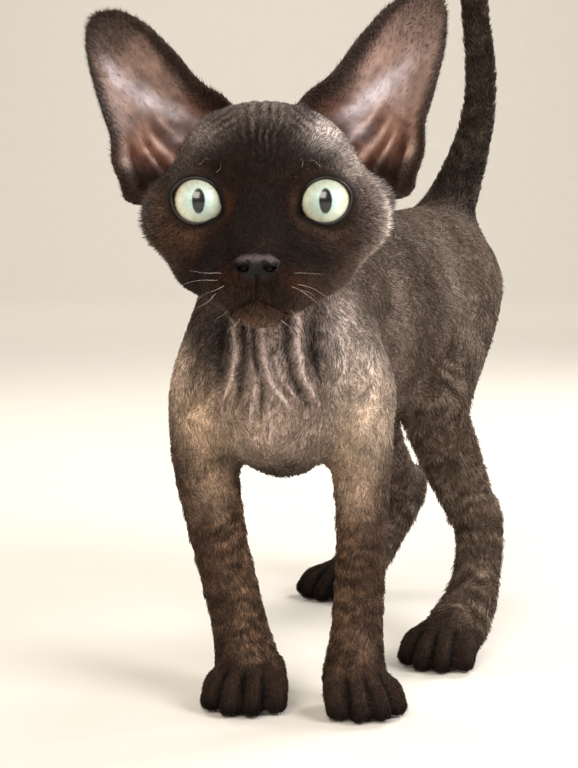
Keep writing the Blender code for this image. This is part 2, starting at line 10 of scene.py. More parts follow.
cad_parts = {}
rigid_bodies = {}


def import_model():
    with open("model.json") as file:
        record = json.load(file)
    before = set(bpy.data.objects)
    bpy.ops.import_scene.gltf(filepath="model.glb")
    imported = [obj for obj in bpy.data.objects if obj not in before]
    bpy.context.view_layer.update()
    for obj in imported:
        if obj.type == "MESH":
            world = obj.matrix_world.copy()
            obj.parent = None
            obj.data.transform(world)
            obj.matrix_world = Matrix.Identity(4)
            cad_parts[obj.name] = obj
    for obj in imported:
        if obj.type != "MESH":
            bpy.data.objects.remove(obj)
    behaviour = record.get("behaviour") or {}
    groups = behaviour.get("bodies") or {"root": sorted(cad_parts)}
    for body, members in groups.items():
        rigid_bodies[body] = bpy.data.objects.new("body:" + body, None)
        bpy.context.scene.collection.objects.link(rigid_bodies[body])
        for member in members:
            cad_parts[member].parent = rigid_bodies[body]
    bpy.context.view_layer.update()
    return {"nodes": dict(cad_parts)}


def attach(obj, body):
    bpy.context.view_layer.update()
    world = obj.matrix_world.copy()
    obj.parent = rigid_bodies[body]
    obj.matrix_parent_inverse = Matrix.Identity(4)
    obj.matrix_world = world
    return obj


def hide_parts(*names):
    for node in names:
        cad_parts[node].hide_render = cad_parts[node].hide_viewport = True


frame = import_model()
print("frame:", len(frame["nodes"]), "nodes")

# Forms are placed in millimetres and moved to the model's own frame, in metres, at the end.
modelMiddle = np.array([13.0, 81.6, 0.0])
mm = 0.001


def linear(hexText):
    # sRGB hex to the linear values that shaders and attributes take
    parts = [int(hexText[i:i + 2], 16) / 255 for i in (0, 2, 4)]
    return np.array([c / 12.92 if c <= 0.04045 else ((c + 0.055) / 1.055) ** 2.4 for c in parts])


def bell(value, middle, width):
    return np.exp(-((value - middle) / width) ** 2)


def ease(value, low, high):
    t = np.clip((value - low) / (high - low), 0, 1)
    return t * t * (3 - 2 * t)


def blend(base, colour, share):
    # takes a base colour towards another one by a share for each point
    share = np.asarray(share)[:, None]
    return base * (1 - share) + colour * share


def within(points, low, high):
    return ((points > low) & (points < high)).all(1)


def unit(rows):
    return rows / np.maximum(np.linalg.norm(rows, axis=1, keepdims=True), 1e-9)


def drift(points, size, seed, waves=14):
    # smooth random field of about -1 to 1, with features of the given size in mm
    draw = np.random.default_rng(seed)
    ways = unit(draw.normal(size=(waves, 3))) * (math.tau / (size * draw.uniform(0.7, 1.6, (waves, 1))))
    turns = draw.uniform(0, math.tau, waves)
    return np.sin(points @ ways.T + turns).sum(1) / math.sqrt(waves)


# the forms that the skin is laid over, in mm
head = {
    "place": (-8.2, -30.0, 188.0),
    "yaw": math.radians(-3.0),
}
eye = {
    "spacing": 41.7,
    "radius": 10.0,
    "depth": -11.4,
    "halfWidth": 8.15,
    "halfHeight": 7.55,
    "tilt": math.radians(14.0),
    "gazeOut": math.radians(3.0),
    "corneaRise": 0.9,
    "corneaHalfAngle": math.radians(46.0),
    "lid": 1.1,
}
bodySide = (math.cos(math.radians(24)), -math.sin(math.radians(24)), 0.0)


def turned(point, yaw, place):
    x, y, z = point
    c, s = math.cos(yaw), math.sin(yaw)
    return (place[0] + c * x - s * y, place[1] + s * x + c * y, place[2] + z)


def headPoint(x, y, z):
    return turned((x, y, z), head["yaw"], head["place"])


def inHead(points):
    # across, back and up from the middle of the head
    c, s = math.cos(head["yaw"]), math.sin(head["yaw"])
    away = points - np.array(head["place"])
    return np.column_stack([c * away[:, 0] + s * away[:, 1], -s * away[:, 0] + c * away[:, 1], away[:, 2]])


def curveThrough(stations, steps):
    rows = np.array(stations, float)
    ends = np.vstack([2 * rows[0] - rows[1], rows, 2 * rows[-1] - rows[-2]])
    found = []
    for i in range(1, len(ends) - 2):
        a, b, c, d = ends[i - 1:i + 3]
        for t in np.arange(steps) / steps:
            found.append(0.5 * (2 * b + (c - a) * t + (2 * a - 5 * b + 4 * c - d) * t**2
                                + (3 * b - a - 3 * c + d) * t**3))
    found.append(rows[-1])
    return np.array(found)


class Limb:
    # a round form along a path of x, y, z and radius
    def __init__(self, stations, blend=6.0, narrow=1.0, side=bodySide):
        self.rows = curveThrough(stations, 5)
        self.blend = blend
        self.narrow = narrow
        self.side = np.array(side)
        steps = np.linalg.norm(np.diff(self.rows[:, :3], axis=0), axis=1)
        self.arcs = np.concatenate([[0], np.cumsum(steps)])

    def beads(self):
        for x, y, z, radius in self.rows:
            yield (x, y, z), (radius * self.narrow, radius, radius), self.side

    def box(self):
        reach = self.rows[:, 3:4]
        return (self.rows[:, :3] - reach).min(0), (self.rows[:, :3] + reach).max(0)

    def follow(self, points):
        # distance, way of the path and length along it at the nearest place
        best = np.full(len(points), 1e3)
        way = np.zeros((len(points), 3))
        arc = np.zeros(len(points))
        for i, (a, b) in enumerate(zip(self.rows[:-1], self.rows[1:])):
            line = b[:3] - a[:3]
            away = points - a[:3]
            t = np.clip(away @ line / max(line @ line, 1e-9), 0, 1)
            away = away - t[:, None] * line
            if self.narrow != 1.0:
                along = away @ self.side
                away = away + np.outer(along * (1 / self.narrow - 1), self.side)
            gap = np.linalg.norm(away, axis=1) - (a[3] + t * (b[3] - a[3]))
            nearer = gap < best
            best[nearer] = gap[nearer]
            way[nearer] = line / np.linalg.norm(line)
            arc[nearer] = self.arcs[i] + t[nearer] * (self.arcs[i + 1] - self.arcs[i])
        return best, way, arc

    def distance(self, points):
        return self.follow(points)[0]


class Egg:
    # an ellipsoid, turned about the vertical
    def __init__(self, centre, radii, blend=6.0, yaw=head["yaw"]):
        self.centre = np.array(centre, float)
        self.radii = np.array(radii, float)
        self.blend = blend
        c, s = math.cos(yaw), math.sin(yaw)
        self.axes = np.array([[c, s, 0], [-s, c, 0], [0, 0, 1]])

    def beads(self):
        yield tuple(self.centre), tuple(self.radii), self.axes[0]

    def box(self):
        reach = self.radii.max()
        return self.centre - reach, self.centre + reach

    def distance(self, points):
        away = points - self.centre
        share = np.linalg.norm((away @ self.axes.T) / self.radii, axis=1)
        return np.linalg.norm(away, axis=1) * (1 - 1 / np.maximum(share, 1e-3))


def softJoin(a, b, width):
    h = np.clip(0.5 + 0.5 * (b - a) / width, 0, 1)
    return b * (1 - h) + a * h - width * h * (1 - h)


def field(points, forms):
    total = np.full(len(points), 1e3)
    for form in forms:
        low, high = form.box()
        margin = form.blend + 5.0
        near = ((points > low - margin) & (points < high + margin)).all(1)
        if near.any():
            total[near] = softJoin(total[near], form.distance(points[near]), form.blend)
    return total


def settle(points, forms, offset, rounds=4):
    # moves points along the field's slope until they lie off its surface by the offset
    step = 0.15
    corners = np.array([(1, -1, -1), (-1, -1, 1), (-1, 1, -1), (1, 1, 1)], float)
    for _ in range(rounds):
        slope = np.zeros_like(points)
        middle = np.zeros(len(points))
        for corner in corners:
            value = field(points + corner * step, forms)
            slope += value[:, None] * corner
            middle += value / 4
        slope /= 4 * step
        length = np.maximum(np.linalg.norm(slope, axis=1), 0.3)
        move = np.clip((middle - offset) / length, -1.5, 1.5)
        points = points - slope / length[:, None] * move[:, None]
    return points


def eyeCentre(side):
    return headPoint(side * eye["spacing"] / 2, eye["depth"], 0.0)


def headForms():
    forms = [
        Egg(headPoint(0, 10, 12), (32.5, 31, 22), 9),       # skull
        Egg(headPoint(0, -4, 12), (25, 15.5, 18.5), 10),    # forehead
        Limb([(*headPoint(0, -8, 7), 13.0), (*headPoint(0, -14.5, -2.5), 11.5),
              (*headPoint(0, -24.5, -10.5), 9.3), (*headPoint(0, -33.6, -16.0), 6.6)], 7),  # bridge
        Egg(headPoint(0, -21, -21.5), (17.5, 17, 13.5), 9),  # muzzle
        Egg(headPoint(0, -8, -30), (15, 20, 9.5), 8),        # jaw
        Egg(headPoint(0, -26.5, -34.6), (10.8, 9.6, 7.0), 6),  # chin
    ]
    for side in (-1, 1):
        forms += [
            Egg(headPoint(side * 22.8, 3, -5), (19.0, 21, 17), 10),           # cheek
            Egg(headPoint(side * 13, -7, -20), (14.5, 17, 13), 10),           # beside the muzzle
            Egg(headPoint(side * 17, -8, 9.5), (13, 9.5, 8), 6),              # brow
            Egg(headPoint(side * 25, 34, 2), (15, 11, 14), 9),                # back of the jaw
            Egg(headPoint(side * 31.5, 20, 0.5), (12.5, 10, 9.5), 12),        # below the ear
            Egg(eyeCentre(side), (eye["radius"] + eye["lid"],) * 3, 4.5),     # lids
            Egg(headPoint(side * 7.3, -31, -25.6), (9.5, 9.2, 8.2), 5),       # whisker pad
            Egg(headPoint(side * 3.3, -38.8, -20.0), (3.6, 3.6, 3.9), 1.6),   # wing of the nostril
        ]
    forms.append(Egg(headPoint(0, -37.8, -18.8), (5.8, 4.4, 3.6), 2))         # tip of the nose
    return forms


neckForm = Limb([(4, 52, 158, 27), (-3, 30, 161, 26), (-7, 10, 169, 24.5), (-9.5, -7, 181, 23),
                 (-10, -18, 188, 21)], 9)
trunkForms = [
    Limb([(-5, 14, 126, 28), (-4, 27, 129, 37), (3, 46, 134, 44), (18, 78, 138, 46.5),
          (35, 108, 142, 44), (51, 136, 146, 41), (63, 158, 150, 38.5), (70, 173, 157, 30),
          (75, 184, 165, 19)], 8, narrow=0.79),
    Limb([(-5, 8, 134, 23), (-4, 11, 112, 22), (-2, 24, 104, 20)], 10),
]
forelegForms = [
    Limb([(-19, 44, 160, 13), (-29, 21, 124, 15.5), (-31.5, 27, 105, 15), (-31.5, 33, 87, 13.8),
          (-28.5, 29, 70, 12.6), (-24.9, 25, 54, 11.9), (-19.3, 22, 32, 11.8), (-15.6, 20, 15, 12.2)], 7),
    Limb([(8, 44, 162, 13), (24, 19, 124, 15.5), (26, 24, 105, 14.6), (27.5, 29, 87, 12.8),
          (27.4, 24, 70, 11.2), (27, 19, 54, 10.8), (25.6, 15, 32, 11.0), (24.6, 12, 15, 11.6)], 7),
]
hindlegForms = [
    Limb([(79, 165, 150, 20), (73, 137, 118, 15), (68, 112, 92, 11)], 9, narrow=0.74),
    Limb([(48, 184, 148, 20), (42, 182, 112, 14), (41, 182, 84, 11)], 9, narrow=0.74),
    Limb([(77, 150, 150, 24), (70, 125, 131, 23), (60, 97, 107, 16)], 9, narrow=0.74),
    Limb([(59, 94, 106, 15), (66, 99, 87, 14.4), (74, 106, 68, 12.8), (80.5, 113, 53, 11.6)], 7),
    Limb([(84.5, 120, 56, 8.4), (83, 114, 44, 11), (79.5, 101, 28, 11.2), (73.5, 88, 17, 12),
          (69.5, 80, 12.5, 12.5)], 5),
    Limb([(47, 167, 150, 24), (42, 166, 124, 21.5), (37, 163, 94, 15)], 9, narrow=0.74),
    Limb([(37, 162, 91, 14.4), (42, 178, 76, 13.2), (51, 203, 59, 11.4), (58, 221, 49, 10.6)], 7),
    Limb([(62, 228, 53, 8.2), (56, 219, 40, 10.4), (46, 211, 26, 10.4), (38, 205, 16, 10.8),
          (32, 200, 12, 11.2)], 5),
]
tailForm = Limb([(68, 172, 174, 16), (76, 184, 190, 12.5), (82.5, 190, 206, 10.4), (87, 192, 221, 9.2),
                 (89.4, 192, 237, 8.3), (89.4, 191, 253, 7.9), (87.4, 189, 269, 7.4),
                 (85.2, 187, 287, 6.9), (82.6, 184, 309, 6.2), (79.8, 182, 332, 5.3),
                 (77.6, 181, 350, 4.3), (76.6, 181, 358, 3.0)], 9)

# each paw: middle of its sole, heading from straight ahead, size
paws = [
    ((-15.2, 14.5), math.radians(-9.0), 1.04),
    ((26.0, 6.5), math.radians(14.0), 0.98),
    ((63.5, 73.0), math.radians(-22.0), 1.03),
    ((22.5, 194.0), math.radians(-42.0), 0.97),
]
toes = {"offsets": ((-11.6, 10.2), (-4.1, 15.2), (4.1, 15.2), (11.6, 10.2)), "radius": 4.9}


def pawForms(place, heading, size):
    def spot(across, ahead, height):
        return turned((across * size, -ahead * size, height * size), heading, (*place, 0.0))

    forms = [
        Egg(spot(0, -1, 9), (13.2 * size, 14 * size, 8.2 * size), 5, heading),
        Egg(spot(0, -5, 3.4), (10 * size, 9 * size, 4.2 * size), 4, heading),
    ]
    r = toes["radius"]
    for across, ahead in toes["offsets"]:
        forms.append(Limb([(*spot(across * 0.72, ahead - 14, 10.6), r * size),
                           (*spot(across * 0.94, ahead - 5.5, 9.0), r * size),
                           (*spot(across, ahead, 4.4), r * 0.96 * size)], 1.0))
    return forms


pawGroup = []
for place, heading, size in paws:
    pawGroup += pawForms(place, heading, size)
# the dewclaw's pad on the inner side of each forepaw
pawGroup += [Egg((-4.4, 17, 14), (3.0, 4.0, 5.0), 3), Egg((15.4, 10, 14), (2.8, 3.8, 4.8), 3)]
headGroup = headForms()
allForms = trunkForms + [neckForm, tailForm] + forelegForms + hindlegForms + pawGroup + headGroup

# ears: middle of the base, way up, way the cup faces, length in mm and side
ears = {
    "right": ((-37.0, -6.0, 204.0), (-0.48, 0.10, 0.87), (-0.20, -0.97, 0.0), 58.5, -1),
    "left": ((21.5, -6.0, 205.5), (0.43, 0.10, 0.90), (0.16, -0.98, 0.0), 63.0, 1),
}
# the cup's outline, as places up the ear and their distance from its middle line in mm
earCup = {
    "wall": 1.25,
    "wrapBase": math.radians(84.0),
    "wrapTip": math.radians(38.0),
    "inner": ((-0.3, 10.0), (-0.16, 19.0), (0.0, 25.0), (0.17, 23.0), (0.3, 18.9), (0.45, 16.3),
              (0.6, 14.4), (0.76, 11.6), (0.88, 8.0), (0.96, 4.0), (1.01, -2.2)),
    "outer": ((-0.3, 5.0), (-0.15, 19.5), (-0.08, 25.2), (-0.02, 26.4), (0.05, 25.4), (0.19, 24.2),
              (0.33, 20.3), (0.42, 19.4), (0.62, 17.2), (0.79, 14.2), (0.92, 10.8),
              (0.98, 7.6), (1.01, 4.6)),
    "lean": 3.0,
    "lowest": -0.28,
    "highest": 1.01,
    "rows": 72,
    "columns": 88,
    "cordEvery": 0.2,           # from cord to cord across the cup
    "cordHeight": 1.3,
    "betweenCords": 0.32,
    "pocketWall": 1.3,
    "pocketHollow": 0.9,
    "relief": (-0.6, 1.6),      # never through the back of the ear
}


def earFrame(name):
    base, rise, face, length, side = ears[name]
    up = Vector(rise).normalized()
    front = Vector(face)
    front = (front - up * front.dot(up)).normalized()
    across = up.cross(front) * -side
    if across.x * side < 0:
        across = -across
    return np.array(base), np.array(across), np.array(front), np.array(up), length


def earSheet(name, share, turn, inset):
    base, across, front, up, length = earFrame(name)
    wrap = earCup["wrapBase"] + (earCup["wrapTip"] - earCup["wrapBase"]) * np.clip(share, 0, 1) ** 0.7
    inner, outer = (np.interp(share, *curveThrough(earCup[key], 8).T) for key in ("inner", "outer"))
    radius = (inner + outer) / 2 / np.sin(wrap)
    angle = wrap * turn
    reach = radius - inset
    lean = earCup["lean"] * np.sin(math.pi * np.clip(share, 0, None)) * share
    return (base + np.outer(share * length, up)
            + np.outer((outer - inner) / 2 + reach * np.sin(angle), across)
            - np.outer(reach * np.cos(angle) - radius * np.cos(wrap) + lean, front))


def earRelief(share, turn):
    # cords that run up out of the canal, and the pocket low on the outer margin
    across = turn - 0.45 * share + 0.03 * np.sin(turn * 11 + 1)
    zone = ease(share, -0.08, 0.0) * (1 - ease(share + 0.3 * turn, 0.24, 0.46))
    zone = zone * ease(across, -0.1, 0.04) * (1 - ease(across, 0.42, 0.6))
    crest = (0.5 + 0.5 * np.cos(math.tau * across / earCup["cordEvery"])) ** 3
    folds = zone * (earCup["cordHeight"] * crest - earCup["betweenCords"])
    low = bell(share, 0.1, 0.13)
    wall = earCup["pocketWall"] * bell(turn, 0.8, 0.09) * low
    hollow = earCup["pocketHollow"] * bell(turn, 0.66, 0.08) * low
    return np.clip(folds + (wall - hollow), *earCup["relief"])


def earMesh(name):
    rows, columns = earCup["rows"], earCup["columns"]
    lowest = earCup["lowest"]
    shares = lowest + (earCup["highest"] - lowest) * np.linspace(0, 1, rows) ** 0.8
    turns = np.sin(np.linspace(-1, 1, columns) * math.pi / 2 * 0.93) / math.sin(math.pi / 2 * 0.93)
    share, turn = (grid.ravel() for grid in np.meshgrid(shares, turns, indexing="ij"))
    edge = np.sqrt(np.clip(1 - (np.abs(turn) / 1.02) ** 8, 0.02, 1))
    tip = 1 - 0.6 * np.clip((share - 0.85) / 0.15, 0, 1)
    wavy = 0.35 * drift(np.column_stack([share * 60, turn * 30, share * 0]), 16, 5)
    inset = 0.25
    back = earSheet(name, share, turn, inset + wavy * 0.5)
    thick = inset + earCup["wall"] * edge * tip + wavy * 0.5 + earRelief(share, turn) * edge
    front = earSheet(name, share, turn, thick)
    verts = np.vstack([back, front])
    n = rows * columns
    faces = []
    for i in range(rows - 1):
        for j in range(columns - 1):
            a, b = i * columns + j, i * columns + j + 1
            c, d = b + columns, a + columns
            faces.append((a, b, c, d))
            faces.append((n + a, n + d, n + c, n + b))
    for i in range(rows - 1):
        for j, order in ((0, 1), (columns - 1, -1)):
            a, b = i * columns + j, (i + 1) * columns + j
            faces.append((a, b, n + b, n + a)[::order])
    for j in range(columns - 1):
        for i, order in ((0, -1), (rows - 1, 1)):
            a, b = i * columns + j, i * columns + j + 1
            faces.append((a, b, n + b, n + a)[::order])
    made = bpy.data.meshes.new("ear_" + name)
    made.from_pydata([tuple(v) for v in verts], [], faces)
    builder = opened(made)
    bmesh.ops.recalc_face_normals(builder, faces=builder.faces)
    if builder.calc_volume(signed=True) < 0:
        bmesh.ops.reverse_faces(builder, faces=builder.faces)
    return stored(builder, made), verts, share, turn


def newObject(name, mesh):
    made = bpy.data.objects.new(name, mesh)
    bpy.context.scene.collection.objects.link(made)
    return made


def opened(mesh):
    builder = bmesh.new()
    builder.from_mesh(mesh)
    return builder


def stored(builder, mesh):
    builder.to_mesh(mesh)
    builder.free()
    return mesh


def applied(obj):
    graph = bpy.context.evaluated_depsgraph_get()
    graph.update()
    mesh = bpy.data.meshes.new_from_object(obj.evaluated_get(graph), depsgraph=graph)
    obj.modifiers.clear()
    obj.data = mesh
    return obj


def pointsOf(mesh):
    found = np.empty(len(mesh.vertices) * 3)
    mesh.vertices.foreach_get("co", found)
    return found.reshape(-1, 3)


def movePoints(mesh, points):
    mesh.vertices.foreach_set("co", points.astype(np.float32).ravel())
    mesh.update()


def normalsOf(mesh):
    found = np.empty(len(mesh.vertices) * 3, np.float32)
    mesh.vertex_normals.foreach_get("vector", found)
    return found.reshape(-1, 3).astype(float)


def coatDepth(points):
    # how far the skin lies inside the outline of the coat
    local = inHead(points)
    onFace = ease(-local[:, 1], -14, 6) * ease(local[:, 2], -60, -40) * (points[:, 1] < 6)
    onPaws = ease(30 - points[:, 2], 0, 14)
    return 1.9 - 1.1 * onFace - 1.0 * onPaws * (1 - onFace)


def beadMesh(forms, swell=1.5):
    builder = bmesh.new()
    for form in forms:
        for centre, radii, side in form.beads():
            across = Vector(side).normalized()
            back = Vector((0, 0, 1)).cross(across)
            turn = Matrix((across, back, (0, 0, 1))).transposed().to_4x4()
            size = Matrix.Diagonal((*(radius + swell for radius in radii), 1.0))
            bmesh.ops.create_icosphere(builder, subdivisions=2, radius=1.0,
                                       matrix=Matrix.Translation(centre) @ turn @ size)
    return stored(builder, bpy.data.meshes.new("skin"))


def refine(mesh, chosen):
    # splits the chosen faces in four
    builder = opened(mesh)
    middles = np.array([face.calc_center_median() for face in builder.faces])
    wanted = chosen(middles)
    edges = {edge for face, take in zip(builder.faces, wanted) if take for edge in face.edges}
    bmesh.ops.subdivide_edges(builder, edges=list(edges), cuts=1, use_grid_fill=True)
    stored(builder, mesh)


def finerPlaces(points):
    headAndChest = (points[:, 2] > 104) & (points[:, 1] < 18 - 0.35 * (points[:, 2] - 160))
    return headAndChest | (points[:, 2] < 24)


def facePlaces(points):
    local = inHead(points)
    return (local[:, 1] < -6) & (np.abs(local[:, 0]) < 34) & (local[:, 2] > -43) & (local[:, 2] < 33)


def gaze(side):
    yaw = head["yaw"] + side * eye["gazeOut"]
    return Vector((math.sin(yaw), -math.cos(yaw), 0.0))


def eyeFrame(side):
    # across, up and out of the eye, with the inner corner a little lower
    out = gaze(side)
    across = Vector((0, 0, 1)).cross(out)
    up = out.cross(across)
    tilt = Matrix.Rotation(side * eye["tilt"], 3, out)
    return tuple(np.array(tilt @ v) for v in (across, up)) + (np.array(out),)


def rimReach(angle, side):
    # how far the opening reaches at each angle, drawn out at the inner corner
    w, h = eye["halfWidth"], eye["halfHeight"]
    plain = w * h / np.sqrt((h * np.cos(angle)) ** 2 + (w * np.sin(angle)) ** 2)
    inner = math.pi if side > 0 else 0.0
    turn = (angle - inner - 0.22 * side + math.pi) % math.tau - math.pi
    outer = (angle - inner - math.pi + math.pi) % math.tau - math.pi
    return plain + 1.5 * np.exp(-(turn / 0.27) ** 2) + 0.35 * np.exp(-(outer / 0.3) ** 2)


def eyeCoordinates(points, side):
    # distance from the opening's rim, from the eye's middle, and ahead of that middle
    across, up, out = eyeFrame(side)
    away = points - np.array(eyeCentre(side))
    a, b, c = away @ across, away @ up, away @ out
    return np.hypot(a, b) - rimReach(np.arctan2(b, a), side), np.linalg.norm(away, axis=1), c


def hugEyes(points):
    # lids lie close on the eyeball and swell a little towards their margin
    for side in (-1, 1):
        beyond, distance, ahead = eyeCoordinates(points, side)
        centre = np.array(eyeCentre(side))
        snug = eye["radius"] + 0.75 + 0.75 * ease(beyond, 0.0, 2.2) - 0.15 * bell(beyond, 4.2, 1.6)
        share = (1 - ease(beyond, 1.0, 7.0)) * (ahead > 0) * (distance < eye["radius"] + 9)
        away = points - centre
        points = points + (away / distance[:, None] * (snug - distance)[:, None]) * share[:, None]
    return points


def polyline(points, stations):
    # distance in mm to a line of (x, z) stations seen from the front, with its width there
    best = np.full(len(points), 1e3)
    width = np.ones(len(points))
    flat = points[:, [0, 2]]
    for a, b in zip(stations[:-1], stations[1:]):
        a, b = np.array(a, float), np.array(b, float)
        line = b[:2] - a[:2]
        t = np.clip((flat - a[:2]) @ line / (line @ line), 0, 1)
        gap = np.linalg.norm(flat - a[:2] - t[:, None] * line, axis=1)
        nearer = gap < best
        best[nearer] = gap[nearer]
        width[nearer] = (a[2] + t * (b[2] - a[2]))[nearer]
    return best, width


# loose skin of the throat and chest: x, z and half width of the pale ridges and of the hollows, darkened
# with painted shade
chestRidges = [
    [(-20.2, 149, 0.82), (-18.8, 136, 0.9), (-20.4, 125, 0.9), (-23.4, 118, 0.66)],
    [(-9.9, 147, 0.82), (-9.2, 135, 0.9), (-6.6, 125, 0.9), (0.5, 115, 0.66)],
    [(-10.6, 129, 0.41), (-13.0, 118, 0.51), (-14.2, 108, 0.41)],
    [(3.0, 151, 1.1), (2.6, 140, 1.2), (4.9, 127, 1.1), (10.8, 116, 0.74)],
    [(-5.2, 134, 0.46), (-2.6, 126, 0.46), (4.0, 117, 0.35)],
    [(-7.6, 117, 0.35), (-6.4, 108, 0.46), (-6.8, 100, 0.41)],
]
chestHollows = [
    [(-16.4, 149, 1.3), (-15.6, 136, 1.7), (-16.8, 124, 1.5), (-19.0, 115, 1.0)],
    [(-23.6, 147, 2.0), (-24.0, 136, 2.6), (-25.2, 124, 2.0)],
    [(-12.6, 146, 0.8), (-12.2, 134, 1.0), (-9.4, 122, 1.0), (-9.8, 112, 0.8)],
    [(-1.2, 150, 1.5), (-1.4, 138, 1.6), (0.8, 127, 1.4), (6.4, 116, 1.0)],
    [(8.0, 146, 1.4), (8.2, 136, 1.8), (10.6, 126, 1.6)],
]


def toeGrooves(points):
    # 1 along each of the three grooves between the toes of every paw
    found = np.zeros(len(points))
    low = 1 - ease(points[:, 2], 13, 18)
    for place, heading, size in paws:
        x, y = ((points[:, :2] - np.array(place)) / size).T
        across = x * math.cos(heading) + y * math.sin(heading)
        ahead = x * math.sin(heading) - y * math.cos(heading)
        near = ease(ahead, 0, 6) * (1 - ease(ahead, 24, 28)) * (np.abs(across) < 17) * low
        for middle in (-1, 0, 1):
            off = across - middle * (5.65 + 0.157 * np.clip(ahead, 0, 20))
            found = np.maximum(found, near * np.exp(-(off / 1.15) ** 2))
    return found


def browFolds(points, local, folds):
    x, y, z = local.T
    warp = drift(points, 16, 3)
    # fine upright wrinkles of the forehead, gathered towards the bridge
    gather = 1 + np.clip(z - 12, -8, 30) / 42
    across = x / gather + 0.55 * warp + 0.15 * drift(points, 5, 13)
    brow = bell(z, 28, 8) * bell(x, 0, 8) * (y < 12)
    lines = np.cos(math.tau * across / 2.2)
    folds["move"] += brow * (0.36 * lines - 0.12)
    patchy = 0.62 + 0.38 * drift(points, 7, 12)
    # painted shade in the troughs of the wrinkles, pale on their crests
    folds["deep"] = 1.0 * brow * patchy * np.clip(-lines, 0, 1)
    folds["pale"] = 0.9 * brow * patchy * np.clip(lines, 0, 1)
    # longer stripes that curve outwards over each brow
    for side in (-1, 1):
        curve = side * 0.62 * x + 0.78 * z - 0.010 * (z - 26) ** 2
        stripes = np.cos(math.tau * (curve + 0.35 * warp) / 2.4)
        place = bell(x, side * 14, 5.5) * bell(z, 26, 5.5) * (y < 14)
        folds["move"] += 0.26 * stripes * place
        # painted shade in the troughs of the stripes, pale on their crests
        folds["deep"] = np.maximum(folds["deep"], 1.2 * place * np.clip(-stripes, 0, 1))
        folds["pale"] = np.maximum(folds["pale"], 1.0 * place * np.clip(stripes, 0, 1))


def faceFolds(points, local, folds):
    x, y, z = local.T
    # full lower cheeks
    folds["move"] += 2.3 * bell(np.abs(x), 28, 8) * bell(z, -25, 8) * (y < 8) * (points[:, 1] < 6)
    # temples a little hollow, so that the cups of the ears show down to the brow
    folds["move"] -= np.where(x < 0, 2.6, 1.0) * bell(np.abs(x), 31, 7) * bell(z, 20, 9) * (y < 10)
    # a shallow crease from the inner corner of each eye beside the nose
    for side in (-1, 1):
        gap, width = polyline(local, [(side * 12, -5, 1), (side * 9.6, -12, 1.4), (side * 8.6, -17, 1)])
        folds["move"] -= 0.5 * np.exp(-(gap / (width * 1.2)) ** 2) * (y < -14)
    # rows of follicles on the whisker pads
    pad = bell(np.abs(x), 9.5, 6.5) * bell(z, -25.5, 5.5) * (y < -24)
    rows = np.cos(math.tau * (z + 0.25 * np.abs(x)) / 2.5)
    folds["move"] += 0.05 * pad * rows * np.cos(math.tau * np.abs(x) / 2.6)


def throatFolds(points, local, folds):
    front = ease(-points[:, 1], -34, -12) * (local[:, 1] > -25)
    for lines, height in ((chestRidges, 0.95), (chestHollows, -1.15)):
        for stations in lines:
            gap, width = polyline(points, stations)
            low, top = stations[-1][1], stations[0][1]
            ends = ease(points[:, 2], low - 5, low + 5) * ease(-points[:, 2], -top - 4, -top + 3)
            line = np.exp(-(gap / width) ** 2) * ends * front
            folds["move"] += height * line
            if height > 0:
                folds["pale"] = np.maximum(folds["pale"], line)
            else:
                # painted shade in the hollows
                folds["deep"] = np.maximum(folds["deep"], 0.9 * line)


def limbFolds(points, folds):
    grooves = toeGrooves(points)
    folds["move"] -= 0.6 * grooves
    # painted shade in the grooves between the toes
    folds["deep"] = np.maximum(folds["deep"], 1.1 * grooves)
    # loose skin: low rolls across the forelegs and along the trunk
    legs = ease(95 - points[:, 2], 0, 15) * ease(points[:, 2], 26, 40)
    folds["move"] += 0.22 * legs * np.sin(math.tau * (points[:, 2] + 3 * drift(points, 20, 8)) / 8.5)
    trunk = ease(points[:, 1], 20, 45) * ease(points[:, 2], 80, 95) * (points[:, 2] < 200)
    rolls = np.sin(math.tau * (points @ np.array([0.4, 0.9, -0.12]) + 4 * drift(points, 34, 9)) / 9.5)
    folds["move"] += 0.13 * trunk * rolls


def skinFolds(points):
    # outward moves in mm, how deep in a fold each point lies (used for painted shade), and how much it lies
    # on a pale crest
    local = inHead(points)
    folds = {"move": np.zeros(len(points))}
    browFolds(points, local, folds)
    faceFolds(points, local, folds)
    throatFolds(points, local, folds)
    limbFolds(points, folds)
    return folds["move"], np.clip(folds["deep"], 0, 1), np.clip(folds["pale"], 0, 1)


# cutter for the opening between the lids: rings by depth in mm and share of the opening
eyeOpening = {"sides": 56, "rings": ((0.5, 0.86), (5.0, 0.93), (9.0, 1.0), (22.0, 1.25))}


def closedTube(name, rings):
    # a solid through rings of corners, with a face across each end
    builder = bmesh.new()
    rows = [[builder.verts.new(spot) for spot in ring] for ring in rings]
    for a, b in zip(rows[:-1], rows[1:]):
        for k in range(len(a)):
            builder.faces.new((a[k - 1], a[k], b[k], b[k - 1]))
    builder.faces.new(rows[0][::-1])
    builder.faces.new(rows[-1])
    bmesh.ops.recalc_face_normals(builder, faces=builder.faces)
    return stored(builder, bpy.data.meshes.new(name))


def openingMesh(side):
    across, up, out = eyeFrame(side)
    centre = np.array(eyeCentre(side))
    angles = np.arange(eyeOpening["sides"]) * math.tau / eyeOpening["sides"]
    reach = rimReach(angles, side)
    rings = []
    for depth, scale in eyeOpening["rings"]:
        rings.append([centre + out * depth + (across * math.cos(angle) + up * math.sin(angle)) * r * scale
                      for angle, r in zip(angles, reach)])
    return closedTube("opening", rings)


def ballMesh(name, centre, radius, segments=48):
    builder = bmesh.new()
    bmesh.ops.create_uvsphere(builder, u_segments=segments, v_segments=segments // 2, radius=radius,
                              matrix=Matrix.Translation(centre))
    return stored(builder, bpy.data.meshes.new(name))


